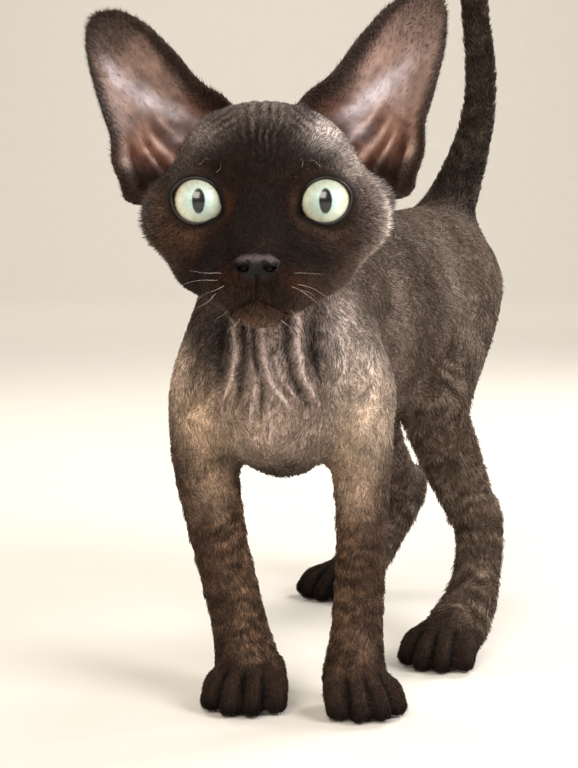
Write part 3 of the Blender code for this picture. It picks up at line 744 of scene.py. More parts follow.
def tubeMesh(name, stations, sides=12, steps=5):
    rows = curveThrough(stations, steps)
    rings = []
    for i, row in enumerate(rows):
        along = Vector(rows[min(i + 1, len(rows) - 1)][:3] - rows[max(i - 1, 0)][:3])
        turn = along.normalized().to_track_quat("Z", "Y").to_matrix()
        angles = [math.tau * k / sides for k in range(sides)]
        rings.append([Vector(row[:3]) + turn @ Vector((math.cos(angle), math.sin(angle), 0)) * row[3]
                      for angle in angles])
    return closedTube(name, rings)


def onFace(x, z, sink):
    # the place on the face straight ahead of a spot behind it, found by halving
    near, far = -60.0, -15.0
    for _ in range(14):
        middle = (near + far) / 2
        spot = np.array([headPoint(x, middle, z)])
        if field(spot, headGroup)[0] + coatDepth(spot)[0] > 0:
            near = middle
        else:
            far = middle
    return headPoint(x, far + sink, z)


# lines cut into the face: across, up and half width in mm, and how deep they lie
faceLines = {
    "lipGroove": (((0.0, -23.2, 0.45), (0.0, -26.5, 0.6), (0.0, -31.4, 0.75)), 0.05),
    "mouth": (((-11.4, -37.2, 0.35), (-8.4, -35.5, 0.7), (-4.4, -33.0, 0.8), (0.0, -31.6, 0.85),
               (4.4, -33.0, 0.8), (8.4, -35.5, 0.7), (11.4, -37.2, 0.35)), 0.35),
    "nostrilRight": (((-6.4, -20.3, 0.5), (-5.3, -21.2, 1.0), (-4.0, -21.3, 1.5),
                      (-3.0, -20.4, 1.3), (-2.6, -19.5, 0.7)), 1.1),
    "nostrilLeft": (((2.6, -19.5, 0.7), (3.0, -20.4, 1.3), (4.0, -21.3, 1.5),
                     (5.3, -21.2, 1.0), (6.4, -20.3, 0.5)), 1.1),
}


def boolean(obj, cutters, operation):
    group = bpy.data.collections.new("cutters")
    for cutter in cutters:
        group.objects.link(cutter)
    tool = obj.modifiers.new("cut", "BOOLEAN")
    tool.operand_type = "COLLECTION"
    tool.collection = group
    tool.operation = operation
    tool.solver = "MANIFOLD"
    applied(obj)
    for cutter in cutters:
        bpy.data.objects.remove(cutter)
    bpy.data.collections.remove(group)


def triangulated(builder):
    bmesh.ops.triangulate(builder, faces=[f for f in builder.faces if len(f.verts) > 4])


def largestPiece(mesh):
    builder = opened(mesh)
    triangulated(builder)
    seen = set()
    best = []
    for start in builder.verts:
        if start in seen:
            continue
        stack, found = [start], []
        seen.add(start)
        while stack:
            vert = stack.pop()
            found.append(vert)
            for edge in vert.link_edges:
                other = edge.other_vert(vert)
                if other not in seen:
                    seen.add(other)
                    stack.append(other)
        if len(found) > len(best):
            best = found
    keep = set(best)
    bmesh.ops.delete(builder, geom=[v for v in builder.verts if v not in keep], context="VERTS")
    stored(builder, mesh)


def relaxed(mesh, share, rounds):
    # evens the surface where the share is above nought
    edges = np.empty(len(mesh.edges) * 2, np.int64)
    mesh.edges.foreach_get("vertices", edges)
    edges = edges.reshape(-1, 2)
    points = pointsOf(mesh)
    counts = np.bincount(edges.ravel(), minlength=len(points))
    for _ in range(rounds):
        sums = np.zeros_like(points)
        np.add.at(sums, edges[:, 0], points[edges[:, 1]])
        np.add.at(sums, edges[:, 1], points[edges[:, 0]])
        points = points + (sums / counts[:, None] - points) * share[:, None]
    movePoints(mesh, points)


skinBuild = {
    "voxel": 2.2,               # mm
    "triangles": 194000,
    "aboveFloor": 0.05,
    "socketGap": 0.2,           # room round each eyeball
    "earRoot": 3.5,             # how far round an ear's root the join is evened out
}


def searchTree(verts):
    tree = KDTree(len(verts))
    for i, v in enumerate(verts):
        tree.insert(v, i)
    tree.balance()
    return tree


def fusedForms():
    # one closed surface over all the forms, finer on the face, chest and paws
    skin = newObject("skin", beadMesh(allForms))
    fuse = skin.modifiers.new("fuse", "REMESH")
    fuse.mode = "VOXEL"
    fuse.voxel_size = skinBuild["voxel"]
    applied(skin)
    mesh = skin.data
    print("  fused:", len(mesh.polygons), "faces")
    points = settle(pointsOf(mesh), allForms, -coatDepth(pointsOf(mesh)), 5)
    movePoints(mesh, points)
    relaxed(mesh, np.full(len(points), 0.5), 2)
    for chosen in (finerPlaces, facePlaces):
        refine(mesh, chosen)
        points = pointsOf(mesh)
        near = chosen(points)
        points[near] = settle(points[near], allForms, -coatDepth(points[near]), 2)
        movePoints(mesh, points)
        print("  refined:", len(mesh.polygons), "faces")
    relaxed(mesh, np.full(len(points), 0.35), 1)
    return skin


def foldSkin(mesh):
    points = hugEyes(pointsOf(mesh))
    movePoints(mesh, points)
    points = points + normalsOf(mesh) * skinFolds(points)[0][:, None]
    points[:, 2] = np.maximum(points[:, 2], skinBuild["aboveFloor"])
    movePoints(mesh, points)
    builder = opened(mesh)
    triangulated(builder)
    stored(builder, mesh)


def cutFace(skin):
    # sockets, openings, nostrils and the line of the mouth
    cutters = []
    for side in (-1, 1):
        socket = ballMesh("socket", eyeCentre(side), eye["radius"] + skinBuild["socketGap"])
        cutters.append(newObject("socket", socket))
        cutters.append(newObject("opening", openingMesh(side)))
    for stations, sink in faceLines.values():
        path = [(*onFace(x, z, sink), half) for x, z, half in stations]
        cutters.append(newObject("line", tubeMesh("line", path)))
    boolean(skin, cutters, "DIFFERENCE")
    largestPiece(skin.data)


def evenEarRoots(mesh, earData):
    # the ledge where each ear leaves the head
    points = pointsOf(mesh)
    join = np.zeros(len(points))
    for verts in (data[0] for data in earData.values()):
        near = np.nonzero(within(points, verts.min(0) - 3, verts.max(0) + 3))[0]
        tree = searchTree(verts)
        gap = np.array([tree.find(points[i])[2] for i in near])
        toHead = field(points[near], headGroup) + coatDepth(points[near])
        share = 0.5 * (gap < skinBuild["earRoot"]) * bell(toHead, 0.5, 2.4)
        join[near] = np.maximum(join[near], share)
    relaxed(mesh, join, 7)


def makeSkin():
    skin = fusedForms()
    foldSkin(skin.data)
    earData, earObjects = {}, []
    for name in ears:
        made, verts, share, turn = earMesh(name)
        earData[name] = (verts, share, turn)
        earObjects.append(newObject(made.name, made))
    boolean(skin, earObjects, "UNION")
    cutFace(skin)
    evenEarRoots(skin.data, earData)
    thin = skin.modifiers.new("thin", "DECIMATE")
    triangles = sum(len(face.vertices) - 2 for face in skin.data.polygons)
    thin.ratio = min(1.0, skinBuild["triangles"] / triangles)
    thin.use_collapse_triangulate = True
    applied(skin)
    return skin, earData


print("skin")
skin, earData = makeSkin()
print("  skin:", len(skin.data.vertices), "points,", len(skin.data.polygons), "faces")


def earPlaces(points):
    # for each point: share up the ear, turn across it, 1 inside and -1 behind, and its side, or 0
    share, turn, face, which = np.zeros((4, len(points)))
    for name, (verts, shares, turns) in earData.items():
        n = len(shares)
        tree = searchTree(verts)
        for i in np.nonzero(within(points, verts.min(0) - 0.5, verts.max(0) + 0.5))[0]:
            index, gap = tree.find(points[i])[1:]
            if gap < 0.9:
                share[i], turn[i] = shares[index % n], turns[index % n]
                face[i] = 1 if index >= n else -1
                which[i] = ears[name][4]
    return share, turn, face, which


# each kind of coat: colour, colour on the crest of a wave as a painted sheen, curled tufts per square mm
# with their length and width in mm, short flat ones with theirs, lift in degrees, how far it waves and how
# uneven its tone is
coats = {
    "head": {"colour": "1e130d", "crest": "30231b", "curled": 0.0, "length": 2.6, "width": 0.36,
             "flat": 3.7, "flatLength": 2.9, "flatWidth": 0.35, "lift": 19, "wave": 0.08, "uneven": 0.8},
    "neck": {"colour": "6e5f57", "crest": "94847a", "curled": 0.7, "length": 3.1, "width": 0.36,
             "flat": 1.8, "flatLength": 2.4, "flatWidth": 0.28, "lift": 14, "wave": 0.35, "uneven": 0.3},
    "trunk": {"colour": "594b41", "crest": "82736a", "curled": 0.52, "length": 3.4, "width": 0.36,
              "flat": 0.95, "flatLength": 3.1, "flatWidth": 0.3, "lift": 10, "wave": 0.8, "uneven": 0.22},
    "foreleg": {"colour": "43332a", "crest": "705b4a", "curled": 0.85, "length": 2.9, "width": 0.33,
                "flat": 1.1, "flatLength": 2.4, "flatWidth": 0.28, "lift": 13, "wave": 0.8, "uneven": 0.25},
    "hindleg": {"colour": "53443a", "crest": "918173", "curled": 0.68, "length": 3.7, "width": 0.38,
                "flat": 0.75, "flatLength": 2.9, "flatWidth": 0.34, "lift": 20, "wave": 1.0, "uneven": 0.28},
    "tail": {"colour": "30261f", "crest": "5c4e43", "curled": 0.9, "length": 4.1, "width": 0.42,
             "flat": 0.85, "flatLength": 2.8, "flatWidth": 0.32, "lift": 18, "wave": 0.8, "uneven": 0.3},
    "paw": {"colour": "1b120e", "crest": "281c16", "curled": 0.0, "length": 2.2, "width": 0.36,
            "flat": 3.5, "flatLength": 2.0, "flatWidth": 0.28, "lift": 17, "wave": 0.1, "uneven": 0.4},
}
coatKinds = list(coats)
coatGroups = {
    "head": headGroup,
    "neck": [neckForm],
    "trunk": trunkForms,
    "foreleg": forelegForms,
    "hindleg": hindlegForms,
    "tail": [tailForm],
    "paw": pawGroup,
}

# marks over the base coat, with painted light and shade among them: middle and reach in mm, colour and
# strength
markings = [
    ((-37, -36, 206), (6, 30, 8), "6f5f57", 0.85),      # thin silvery temples, before the ears
    ((-29.5, -36, 211), (7, 30, 5.5), "a69790", 0.92),
    ((12, -36, 199), (9, 30, 5), "1f140f", 0.8),
    ((14, -36, 211.5), (8, 24, 6), "eadbd3", 0.97),
    ((23, -32, 202), (6, 20, 6.5), "d3c2b8", 0.93),
    ((29, -26, 195), (5, 17, 6), "a5958b", 0.85),
    ((-9, -30, 218.5), (18, 26, 6), "8f8279", 0.72),       # the crown catches the light between wrinkles
    ((-9, -36, 207), (14, 30, 7), "150d0a", 0.82),       # dark middle of the forehead
    ((-33, -36, 175), (9, 30, 4), "594131", 0.85),      # warm brown below the eyes and by the nose
    ((14, -36, 176), (10, 30, 4), "46342a", 0.8),
    ((-42, -36, 171), (8, 22, 8), "67493a", 0.78),
    ((25, -36, 166), (9, 22, 7), "5c4336", 0.75),
    ((-19.5, -36, 186), (3, 30, 6), "3f2713", 0.6),
    ((3.5, -36, 186), (3, 30, 6), "463120", 0.6),
    ((-8, -36, 184), (5, 30, 9), "0d0907", 0.6),         # darkest between the eyes and above the nose
    ((-22, -36, 172), (7, 30, 5), "0d0806", 0.7),
    ((5, -36, 172), (7, 30, 5), "0f0a08", 0.7),
    ((29, -36, 181), (5, 14, 13), "86726a", 0.75),
    ((35, -32, 182), (6, 12, 14), "decfc3", 0.97),       # pale fringe of the left cheek
    ((-5, 0, 89), (22, 30, 8), "3b312b", 0.75),          # painted shade along the lower edge of the chest
    ((29, -31, 168), (7, 12, 7), "b8a598", 0.88),
    ((18, -36, 159), (7, 30, 5), "826c5e", 0.65),
    ((-44, -28, 183), (5, 20, 13), "665042", 0.75),
    ((-50, -5, 182), (6, 16, 14), "75604f", 0.82),
    ((3, -36, 163), (5, 30, 3.5), "5e3a20", 0.78),       # beside the nostrils
    ((-19, -36, 163), (5, 30, 3.5), "4c2d19", 0.75),
    ((5, -36, 156), (8, 30, 5), "5d4538", 0.78),
    ((-22, -36, 156), (8, 30, 5), "5d4538", 0.78),
    ((-10, -36, 147), (10, 30, 5), "a07d68", 0.95),      # chin
    ((-9, 4, 136), (12, 28, 18), "a3928a", 0.8),        # throat and chest, thin over the skin
    ((-28.5, 4, 135), (7, 28, 14), "2c2522", 0.93),   # painted shade in the hollows beside the throat, this and the next
    ((11, 4, 137), (4, 28, 10), "4f4640", 0.85),
    ((-8, 4, 107), (16, 28, 14), "bda899", 0.88),
    ((-10, 4, 88), (17, 28, 6), "2d231e", 0.85),       # painted shade under the chest
    ((-42, 4, 129), (6.5, 30, 14), "c9b4a3", 0.93),      # pale tan shoulders: their own tan, brightened with painted light
    ((-33, 4, 106), (10, 30, 15), "cdb39c", 0.97),
    ((20, 4, 145), (6, 30, 12), "c6b5ab", 0.92),
    ((27, 4, 128), (9, 30, 15), "d6c5b8", 0.97),
    ((29, 4, 107), (12, 30, 15), "dcc7b3", 0.98),
    ((20, 4, 95), (6, 28, 8), "c9b19b", 0.8),
    ((-28, 4, 84), (8, 28, 10), "c2a891", 0.9),       # brown of the upper arms
    ((22, 4, 84), (9, 28, 11), "d8bda5", 0.93),
    ((-42, 4, 84), (5, 28, 12), "2b201a", 0.8),        # darker elbows and outer side
    ((-33, 4, 72), (6, 28, 5), "4a382d", 0.5),
    ((41, 4, 84), (6, 28, 14), "45372e", 0.7),
    ((26, 70, 186), (22, 50, 12), "4a3d35", 0.6),       # darker along the back
    ((52, 84, 150), (18, 46, 22), "64564c", 0.55),      # greyer flank, in soft upright streaks
    ((50, 52, 150), (14, 8, 34), "86776c", 0.75),
    ((58, 80, 150), (16, 9, 34), "453931", 0.75),
    ((70, 108, 150), (18, 11, 34), "8f8074", 0.7),
    ((20, 84, 96), (26, 44, 16), "8b796c", 0.6),        # belly
    ((66, 120, 112), (14, 18, 14), "2e241e", 0.6),      # painted shade in the fold of the flank
    ((86, 140, 165), (12, 20, 24), "75675c", 0.55),     # rump
    ((84, 186, 196), (16, 16, 17), "1b1410", 0.85),      # root of the tail
    ((74, 182, 197), (10, 18, 8), "1b1410", 0.8),
    ((84, 112, 74), (10, 14, 20), "7d6c5e", 0.5),       # outside of the thigh and shank
    ((82, 130, 30), (16, 20, 14), "3a2c24", 0.6),
    ((26, 6, 12), (13, 16, 10), "4a3a30", 0.6),          # lighter tops of the two left paws
    ((63, 73, 10), (13, 15, 9), "4a3b32", 0.6),
]
ripples = {
    "every": 7.4,               # mm from wave to wave along a limb
    "wrinkleEvery": 4.1,        # the finer ones inside the forelegs
    "wrinkleColour": "927259",
    "blend": 2.6,               # mm over which one kind of coat passes into the next
    "reach": 12.0,              # how far from a form its own kind is looked for
    "curl": 0.38,
}
lieDown = {"head": (0, 0.25, -0.2), "neck": (0, -0.3, -0.9), "trunk": (0, 0, -0.55), "nearPaw": 34}


def nearestForms(points):
    # for each kind: distance to its forms, way of the limb there and length along it
    gaps, ways, arcs = [], [], []
    for forms in coatGroups.values():
        best = np.full(len(points), 1e3)
        way = np.zeros((len(points), 3))
        arc = np.zeros(len(points))
        for form in forms:
            low, high = form.box()
            near = np.nonzero(within(points, low - ripples["reach"], high + ripples["reach"]))[0]
            if not len(near):
                continue
            if isinstance(form, Limb):
                gap, along, length = form.follow(points[near])
            else:
                gap = form.distance(points[near])
                along, length = np.zeros((len(near), 3)), np.zeros(len(near))
            nearer = gap < best[near]
            chosen = near[nearer]
            best[chosen] = gap[nearer]
            way[chosen] = along[nearer]
            arc[chosen] = length[nearer]
        gaps.append(best)
        ways.append(way)
        arcs.append(arc)
    return np.array(gaps), ways, arcs


def lieOf(points, normals, weights, ways, waving):
    # the way the hair lies: back from the nose, along limbs and trunk, outwards round the eyes
    nose = np.array(headPoint(0, -40, -17))
    ways[0] = unit(points - nose) + np.array(lieDown["head"])
    ways[1] = -ways[1] + np.array(lieDown["neck"])
    ways[2] = ways[2] + np.array(lieDown["trunk"])
    for place, heading in (paw[:2] for paw in paws):
        near = np.hypot(points[:, 0] - place[0], points[:, 1] - place[1]) < lieDown["nearPaw"]
        ways[6][near] = np.array([math.sin(heading), -math.cos(heading), -0.5])
    lie = sum(weights[i][:, None] * unit(ways[i] + 1e-6) for i in range(len(ways)))
    for side in (-1, 1):
        beyond, distance, ahead = eyeCoordinates(points, side)
        out = eyeFrame(side)[2]
        away = points - np.array(eyeCentre(side))
        radial = unit(away - np.outer(away @ out, out))
        share = (1 - ease(beyond, 1.5, 9.0)) * (ahead > 0) * (distance < 20)
        lie = blend(lie, radial, share)
    curl = ripples["curl"] * drift(points, 15, 21)[:, None] * np.cross(lie, normals)
    lie = lie + curl * (0.35 + waving)[:, None]
    return unit(lie - normals * (lie * normals).sum(1)[:, None])


def coatMap(points, normals):
    gaps, ways, arcs = nearestForms(points)
    weights = np.exp(-(gaps - gaps.min(0)) / ripples["blend"])
    weights /= weights.sum(0)

    def blendOf(key):
        return sum(weights[i] * coats[kind][key] for i, kind in enumerate(coatKinds))

    def tintOf(key):
        return sum(weights[i][:, None] * linear(coats[kind][key]) for i, kind in enumerate(coatKinds))

    waving = blendOf("wave")
    lie = lieOf(points, normals, weights, ways, waving)
    # ripples of the rexed coat run across the lie, and come and go
    warp = drift(points, 22, 31)
    turns = sum(weights[i] * np.sin(math.tau * arcs[i] / ripples["every"] + 3.4 * warp
                                    + 1.2 * drift(points, 9, 32)) for i in (1, 2, 3, 4, 5))
    broken = 0.35 + 0.65 * ease(drift(points, 17, 33), -0.7, 0.5)
    ripple = np.clip(turns, -1, 1) * waving * broken
    # finer warm wrinkles on the inner side of the forelegs
    inner = weights[3] * ease(-normals[:, 0] * np.sign(points[:, 0] - 3), -0.55, 0.5)
    inner = inner * ease(108 - points[:, 2], 0, 25)
    wrinkle = np.sin(math.tau * arcs[3] / ripples["wrinkleEvery"] + 2.4 * warp
                     + 1.5 * drift(points, 8, 34))
    colour = tintOf("colour")
    for middle, reach, hexText, strength in markings:
        away = (points - np.array(middle)) / np.array(reach)
        colour = blend(colour, linear(hexText), strength * np.exp(-(away ** 2).sum(1)))
    # painted sheen: the crest colour laid on the crests of the ripples
    high = (0.55 - 0.22 * weights[2]) * np.clip(ripple + 0.2 * drift(points, 12, 43), 0, 1)
    colour = blend(colour, np.maximum(tintOf("crest"), colour), high)
    colour = blend(colour, linear(ripples["wrinkleColour"]), 0.5 * inner * np.clip(wrinkle, 0, 1))
    # painted shade in the troughs of the ripples and of the forelegs' wrinkles, a little painted light on
    # the ripples' crests, then uneven tone
    shade = 1 + (0.34 - 0.14 * weights[2]) * np.minimum(ripple, 0.3)
    shade = shade + 0.4 * inner * np.minimum(wrinkle, 0)
    shade = shade + 0.15 * drift(points, 9, 41) + 0.10 * drift(points, 3.5, 42)
    colour = colour * np.clip(shade, 0.35, 1.8)[:, None]
    found = {key: blendOf(key) for key in ("curled", "length", "width", "flat", "flatLength",
                                           "flatWidth", "lift", "uneven")}
    found.update(lie=lie, colour=colour, ripple=ripple, weights=weights, waving=waving)
    return found


def eyeGap(points):
    # distance beyond the rim of the nearer eye, and whether the point lies in a socket
    best = np.full(len(points), 99.0)
    inside = np.zeros(len(points), bool)
    for side in (-1, 1):
        beyond, distance, ahead = eyeCoordinates(points, side)
        near = (ahead > 0) & (distance < 22)
        best[near] = np.minimum(best[near], beyond[near])
        inside |= distance < eye["radius"] + 0.55
    return best, inside


def noseShare(points):
    # 1 on the nose leather
    x, y, z = inHead(points).T
    width = 3.2 + 4.0 * ease(z, -25.0, -20.2) - 3.0 * ease(z, -19.2, -16.4)
    share = ease(width - np.abs(x), -0.5, 0.5) * ease(z, -25.4, -24.2)
    return share * (1 - ease(z, -17.4, -16.2)) * (y < -33)


# colours of the ears and the bare skin, with painted sheen and painted shade among them; a pair is for the
# cat's left ear and its right one
skinTints = {
    "cup": "7d665d", "cupLow": "7f5748", "shine": ("ccc4cb", "b5abb1"),
    "hollow": "35180f", "cord": "c6ada3", "margin": "241a16", "canal": "210d07",
    "temple": ("cbbab2", "8f7e76"), "behind": "1c1410",
    "browCrest": "7d6e65", "throatCrest": "c4b1a9", "toes": "35281f",
    "lidRim": "0b0807", "leather": "120d0c", "leatherTop": "41383a", "nostril": "040303",
}


def earColour(share, turn, face, points):
    # inside: pale skin with reddish cords low down, a painted sheen, painted shade in the hollows and the
    # canal, and dark furred margins; behind: dark
    onLeft = points[:, 0] > -8

    def tint(key):
        left, right = (linear(hexText) for hexText in skinTints[key])
        return np.where(onLeft[:, None], left, right)

    base = blend(linear(skinTints["cup"]), linear(skinTints["cupLow"]), 1 - ease(share, 0.10, 0.42))
    # a broad painted sheen slants up across the cup, with a small painted highlight below it
    band = share - 0.37 - 0.56 * turn
    shine = bell(band, 0.0, 0.12) * ease(turn, -0.48, -0.14) * (1 - ease(turn, 0.5, 0.8))
    shine = shine * np.where(onLeft, bell(turn, -0.05, 0.34), 1.0)
    shine = shine * (0.84 + 0.16 * drift(points, 9, 54))
    gleam = 0.8 * bell(share, 0.17, 0.06) * bell(turn, 0.04, 0.16)
    base = blend(base, tint("shine"), np.maximum(shine, gleam))
    relief = earRelief(share, turn)
    # painted shade in the hollows between the cords, then the pale cords
    base = blend(base, linear(skinTints["hollow"]), 0.8 * np.clip(-relief / 0.4, 0, 1))
    base = blend(base, linear(skinTints["cord"]), 0.75 * np.clip(relief / 0.9, 0, 1))
    base = base * (1 + 0.16 * drift(points, 9, 51) + 0.14 * drift(points, 3, 53))[:, None]
    inward = ease(-turn, 0.5 - 0.3 * bell(share, 0.22, 0.25), 0.78) * ease(share, -0.02, 0.12)
    outward = ease(turn, 0.72, 0.97)
    top = ease(share, 0.6, 0.97) * np.where(onLeft, 0.6, 1.0)
    pocket = ease(turn, 0.15, 0.5) * (1 - ease(share - 0.16 * turn, -0.05, 0.08))
    edge = np.clip(np.maximum.reduce([inward, outward, top, pocket]), 0, 1)
    base = blend(base, linear(skinTints["margin"]), 0.92 * edge)
    # painted shadow down in the canal
    base = blend(base, linear(skinTints["canal"]), 0.85 * bell(share, 0.08, 0.1) * bell(turn, -0.16, 0.22))
    temple = (1 - ease(share, -0.02, 0.12)) * (1 - ease(turn, -0.62, -0.3))
    base = blend(base, tint("temple"), 0.85 * temple)
    behind = linear(skinTints["behind"]) * (1 + 0.15 * drift(points, 7, 52))[:, None]
    return np.where((face > 0)[:, None], base, behind)


def nostrilShadowShare(points):
    # share of the painted shadow inside the nostrils
    local = inHead(points)
    gap = np.full(len(points), 99.0)
    for key in ("nostrilRight", "nostrilLeft"):
        away, width = polyline(local, faceLines[key][0])
        gap = np.minimum(gap, away - width)
    return (1 - ease(gap, 0.1, 0.7)) * (local[:, 1] < -28)


def skinColour(points, normals):
    found = coatMap(points, normals)
    colour = found["colour"].copy()
    share, turn, face, which = earPlaces(points)
    onEar = which != 0
    colour[onEar] = earColour(share[onEar], turn[onEar], face[onEar], points[onEar])
    deep, pale = skinFolds(points)[1:]
    ridge = 0.75 * np.where(onEar, 0, pale)
    crest = np.where(points[:, 2:3] > 160, linear(skinTints["browCrest"]), linear(skinTints["throatCrest"]))
    colour = blend(colour, np.maximum(crest, colour), ridge)
    toes = 0.75 * found["weights"][6] * (1 - toeGrooves(points)) * ease(points[:, 2], 4, 11)
    colour = blend(colour, linear(skinTints["toes"]), toes)
    # painted shade deep in the folds and in the grooves between the toes
    colour *= (1 - 0.8 * np.where(onEar, 0, deep))[:, None]
    gap, inside = eyeGap(points)
    colour = blend(colour, linear(skinTints["lidRim"]), 1 - ease(gap, 0.2, 2.6))
    lit = bell(inHead(points)[:, 2], -18.2, 1.3)      # the nose's upper edge catches the light
    leather = blend(linear(skinTints["leather"]), linear(skinTints["leatherTop"]), lit)
    colour = blend(colour, leather, noseShare(points))
    # painted shadow inside the nostrils
    colour = blend(colour, linear(skinTints["nostril"]), nostrilShadowShare(points))
    return colour, found, (share, turn, face, which), gap, inside, ridge


print("coat map")
skinPoints = pointsOf(skin.data)
skinNormals = normalsOf(skin.data)
colour, found, earAt, eyeRim, inSocket, ridge = skinColour(skinPoints, skinNormals)


def setAttribute(mesh, name, kind, domain, values):
    layer = mesh.attributes.new(name, kind, domain)
    key = {"FLOAT_COLOR": "color", "FLOAT_VECTOR": "vector", "FLOAT": "value"}[kind]
    layer.data.foreach_set(key, np.asarray(values, np.float32).ravel())


def addNode(tree, kind, links=None, values=None, **settings):
    made = tree.nodes.new(kind)
    for key, value in settings.items():
        setattr(made, key, value)
    for key, value in (values or {}).items():
        made.inputs[key].default_value = value
    for key, source in (links or {}).items():
        tree.links.new(source, made.inputs[key])
    return made


def newMaterial(name, **sockets):
    made = bpy.data.materials.new(name)
    made.use_nodes = True
    tree = made.node_tree
    shader = tree.nodes["Principled BSDF"]
    for key, value in sockets.items():
        shader.inputs[key.replace("_", " ")].default_value = value
    return made, tree, shader


def perFeature(size):
    # scale of a pattern whose features are this many mm across
    return 1 / (size * mm)


def spread(low, high):
    # takes the middle of a noise to this range
    return {"From Min": 0.3, "From Max": 0.7, "To Min": low, "To Max": high}


def setStops(ramp, stops):
    elements = ramp.color_ramp.elements
    while len(elements) < len(stops):
        elements.new(0.5)
    for element, (at, hexText) in zip(elements, stops):
        element.position = at
        element.color = (*linear(hexText), 1)


def speckledMarkingsAndPaintedLight(tree, shader, grain, detail, low, high):
    # the coat's colour with its painted light and shade as base colour, lighter and darker by a noise of
    # this grain in mm
    tone = addNode(tree, "ShaderNodeAttribute", attribute_name="markings")
    place = addNode(tree, "ShaderNodeTexCoord").outputs["Object"]
    speckle = addNode(tree, "ShaderNodeTexNoise", {"Vector": place},
                      {"Scale": perFeature(grain), "Detail": detail})
    vary = addNode(tree, "ShaderNodeMapRange", {"Value": speckle.outputs["Fac"]}, spread(low, high))
    mixed = addNode(tree, "ShaderNodeVectorMath", {0: tone.outputs["Color"], 1: vary.outputs["Result"]},
                    operation="MULTIPLY")
    tree.links.new(mixed.outputs["Vector"], shader.inputs["Base Color"])
    return place


def roughened(tree, shader, height, strength, depth):
    # bump of this depth in mm from a pattern
    bump = addNode(tree, "ShaderNodeBump", {"Height": height},
                   {"Strength": strength, "Distance": depth * mm})
    tree.links.new(bump.outputs["Normal"], shader.inputs["Normal"])


# short keratin hair: satin, with a soft sheen at grazing angles; colour from the coat's marks with their
# painted light and shade
furFinish = {"Roughness": 0.6, "Sheen_Weight": 0.02, "Sheen_Roughness": 0.4, "Specular_IOR_Level": 0.06}


def coatMaterial():
    made, tree, shader = newMaterial("rexed fur", **furFinish)
    speckledMarkingsAndPaintedLight(tree, shader, 2.2, 2.0, 0.72, 1.28)
    return made


def skinMaterial():
    # skin under thin short fur: the flat under-coat shows as fine bump across the whole body
    made, tree, shader = newMaterial("close under-coat over skin", **{**furFinish, "Roughness": 0.62})
    place = speckledMarkingsAndPaintedLight(tree, shader, 0.9, 2.0, 0.72, 1.28)
    fine = addNode(tree, "ShaderNodeTexNoise", {"Vector": place}, {"Scale": perFeature(0.55), "Detail": 4.0})
    roughened(tree, shader, fine.outputs["Fac"], 0.5, 0.35)
    return made


def earMaterial():
    # thin bare skin of the ear: satin, a little translucent, crossed by creases about 1 mm apart
    made, tree, shader = newMaterial("thin ear skin", Roughness=0.46, Specular_IOR_Level=0.3,
                                     Subsurface_Weight=0.12, Subsurface_Radius=(0.003, 0.0012, 0.0008),
                                     Subsurface_Scale=0.6)
    place = speckledMarkingsAndPaintedLight(tree, shader, 5.0, 5.0, 0.75, 1.2)
    creases = addNode(tree, "ShaderNodeTexNoise", {"Vector": place},
                      {"Scale": perFeature(1.1), "Detail": 4.0})
    roughened(tree, shader, creases.outputs["Fac"], 0.35, 0.3)
    return made


def noseMaterial():
    # nose leather: moist pebbled skin, with pebbles about half a millimetre across
    made, tree, shader = newMaterial("nose leather", Roughness=0.4, Specular_IOR_Level=0.14)
    tone = addNode(tree, "ShaderNodeAttribute", attribute_name="markings")
    tree.links.new(tone.outputs["Color"], shader.inputs["Base Color"])
    place = addNode(tree, "ShaderNodeTexCoord").outputs["Object"]
    pebbles = addNode(tree, "ShaderNodeTexVoronoi", {"Vector": place}, {"Scale": perFeature(0.55)})
    roughened(tree, shader, pebbles.outputs["Distance"], 0.55, 0.25)
    return made


def finishSkin():
    # colour with its painted light and shade, and fur, ear skin or nose leather on each face
    mesh = skin.data
    setAttribute(mesh, "markings", "FLOAT_COLOR", "POINT", np.column_stack([colour, np.ones(len(colour))]))
    mesh.materials.clear()
    for made in (skinMaterial(), earMaterial(), noseMaterial()):
        mesh.materials.append(made)
    loops = np.empty(len(mesh.loops), np.int64)
    mesh.loops.foreach_get("vertex_index", loops)
    tris = loops.reshape(-1, 3)
    face, which = earAt[2:]
    bare = ((which != 0) & (face > 0))[tris].sum(1) >= 2
    leather = (noseShare(skinPoints) > 0.5)[tris].sum(1) >= 2
    index = np.where(leather, 2, np.where(bare, 1, 0)).astype(np.int32)
    mesh.polygons.foreach_set("material_index", index)
    mesh.shade_smooth()
    return tris


tris = finishSkin()


def toModel(points):
    return (points - modelMiddle) * mm


def newTree(name, inputs, output):
    # a Geometry Nodes tree with its named inputs and one output
    tree = bpy.data.node_groups.new(name, "GeometryNodeTree")
    for label, kind in inputs.items():
        tree.interface.new_socket(label, in_out="INPUT", socket_type="NodeSocket" + kind)
    tree.interface.new_socket(output, in_out="OUTPUT", socket_type="NodeSocketGeometry")
    return tree, addNode(tree, "NodeGroupInput").outputs


# the coat: short flat tufts and longer curled ones
tuft = {
    "seed": 7,
    "sink": 0.12,               # how deep each root lies, in mm
    "bakePatch": 0.003,         # size of a tuft's patch on the map for baking
    "tileColumns": 8,           # tiles in a row on that map
    "mostTriangles": 190000,
    "flatKinds": 3,             # the first shapes are short and flat, the rest curled
    "triangles": (4, 10),       # of a flat one and of a curled one
    "aboveFloor": 0.0002,       # in metres
}
# tufts one unit long and one wide at the root: middle (none on a flat one) and tip
tuftShapes = [
    (None, (0.0, 1.0, 0.3)),
    (None, (0.6, 0.97, 0.1)),
    (None, (-0.6, 0.97, 0.2)),
    ((0.9, 0.5, 0.9), (-0.3, 1.0, 0.3)),
    ((-0.9, 0.5, 0.9), (0.3, 1.0, 0.3)),
    ((0.5, 0.45, 1.3), (1.6, 0.92, -0.2)),
    ((-0.5, 0.45, 1.3), (-1.6, 0.92, -0.2)),
    ((0.1, 0.5, 1.5), (0.0, 0.92, -0.6)),
]


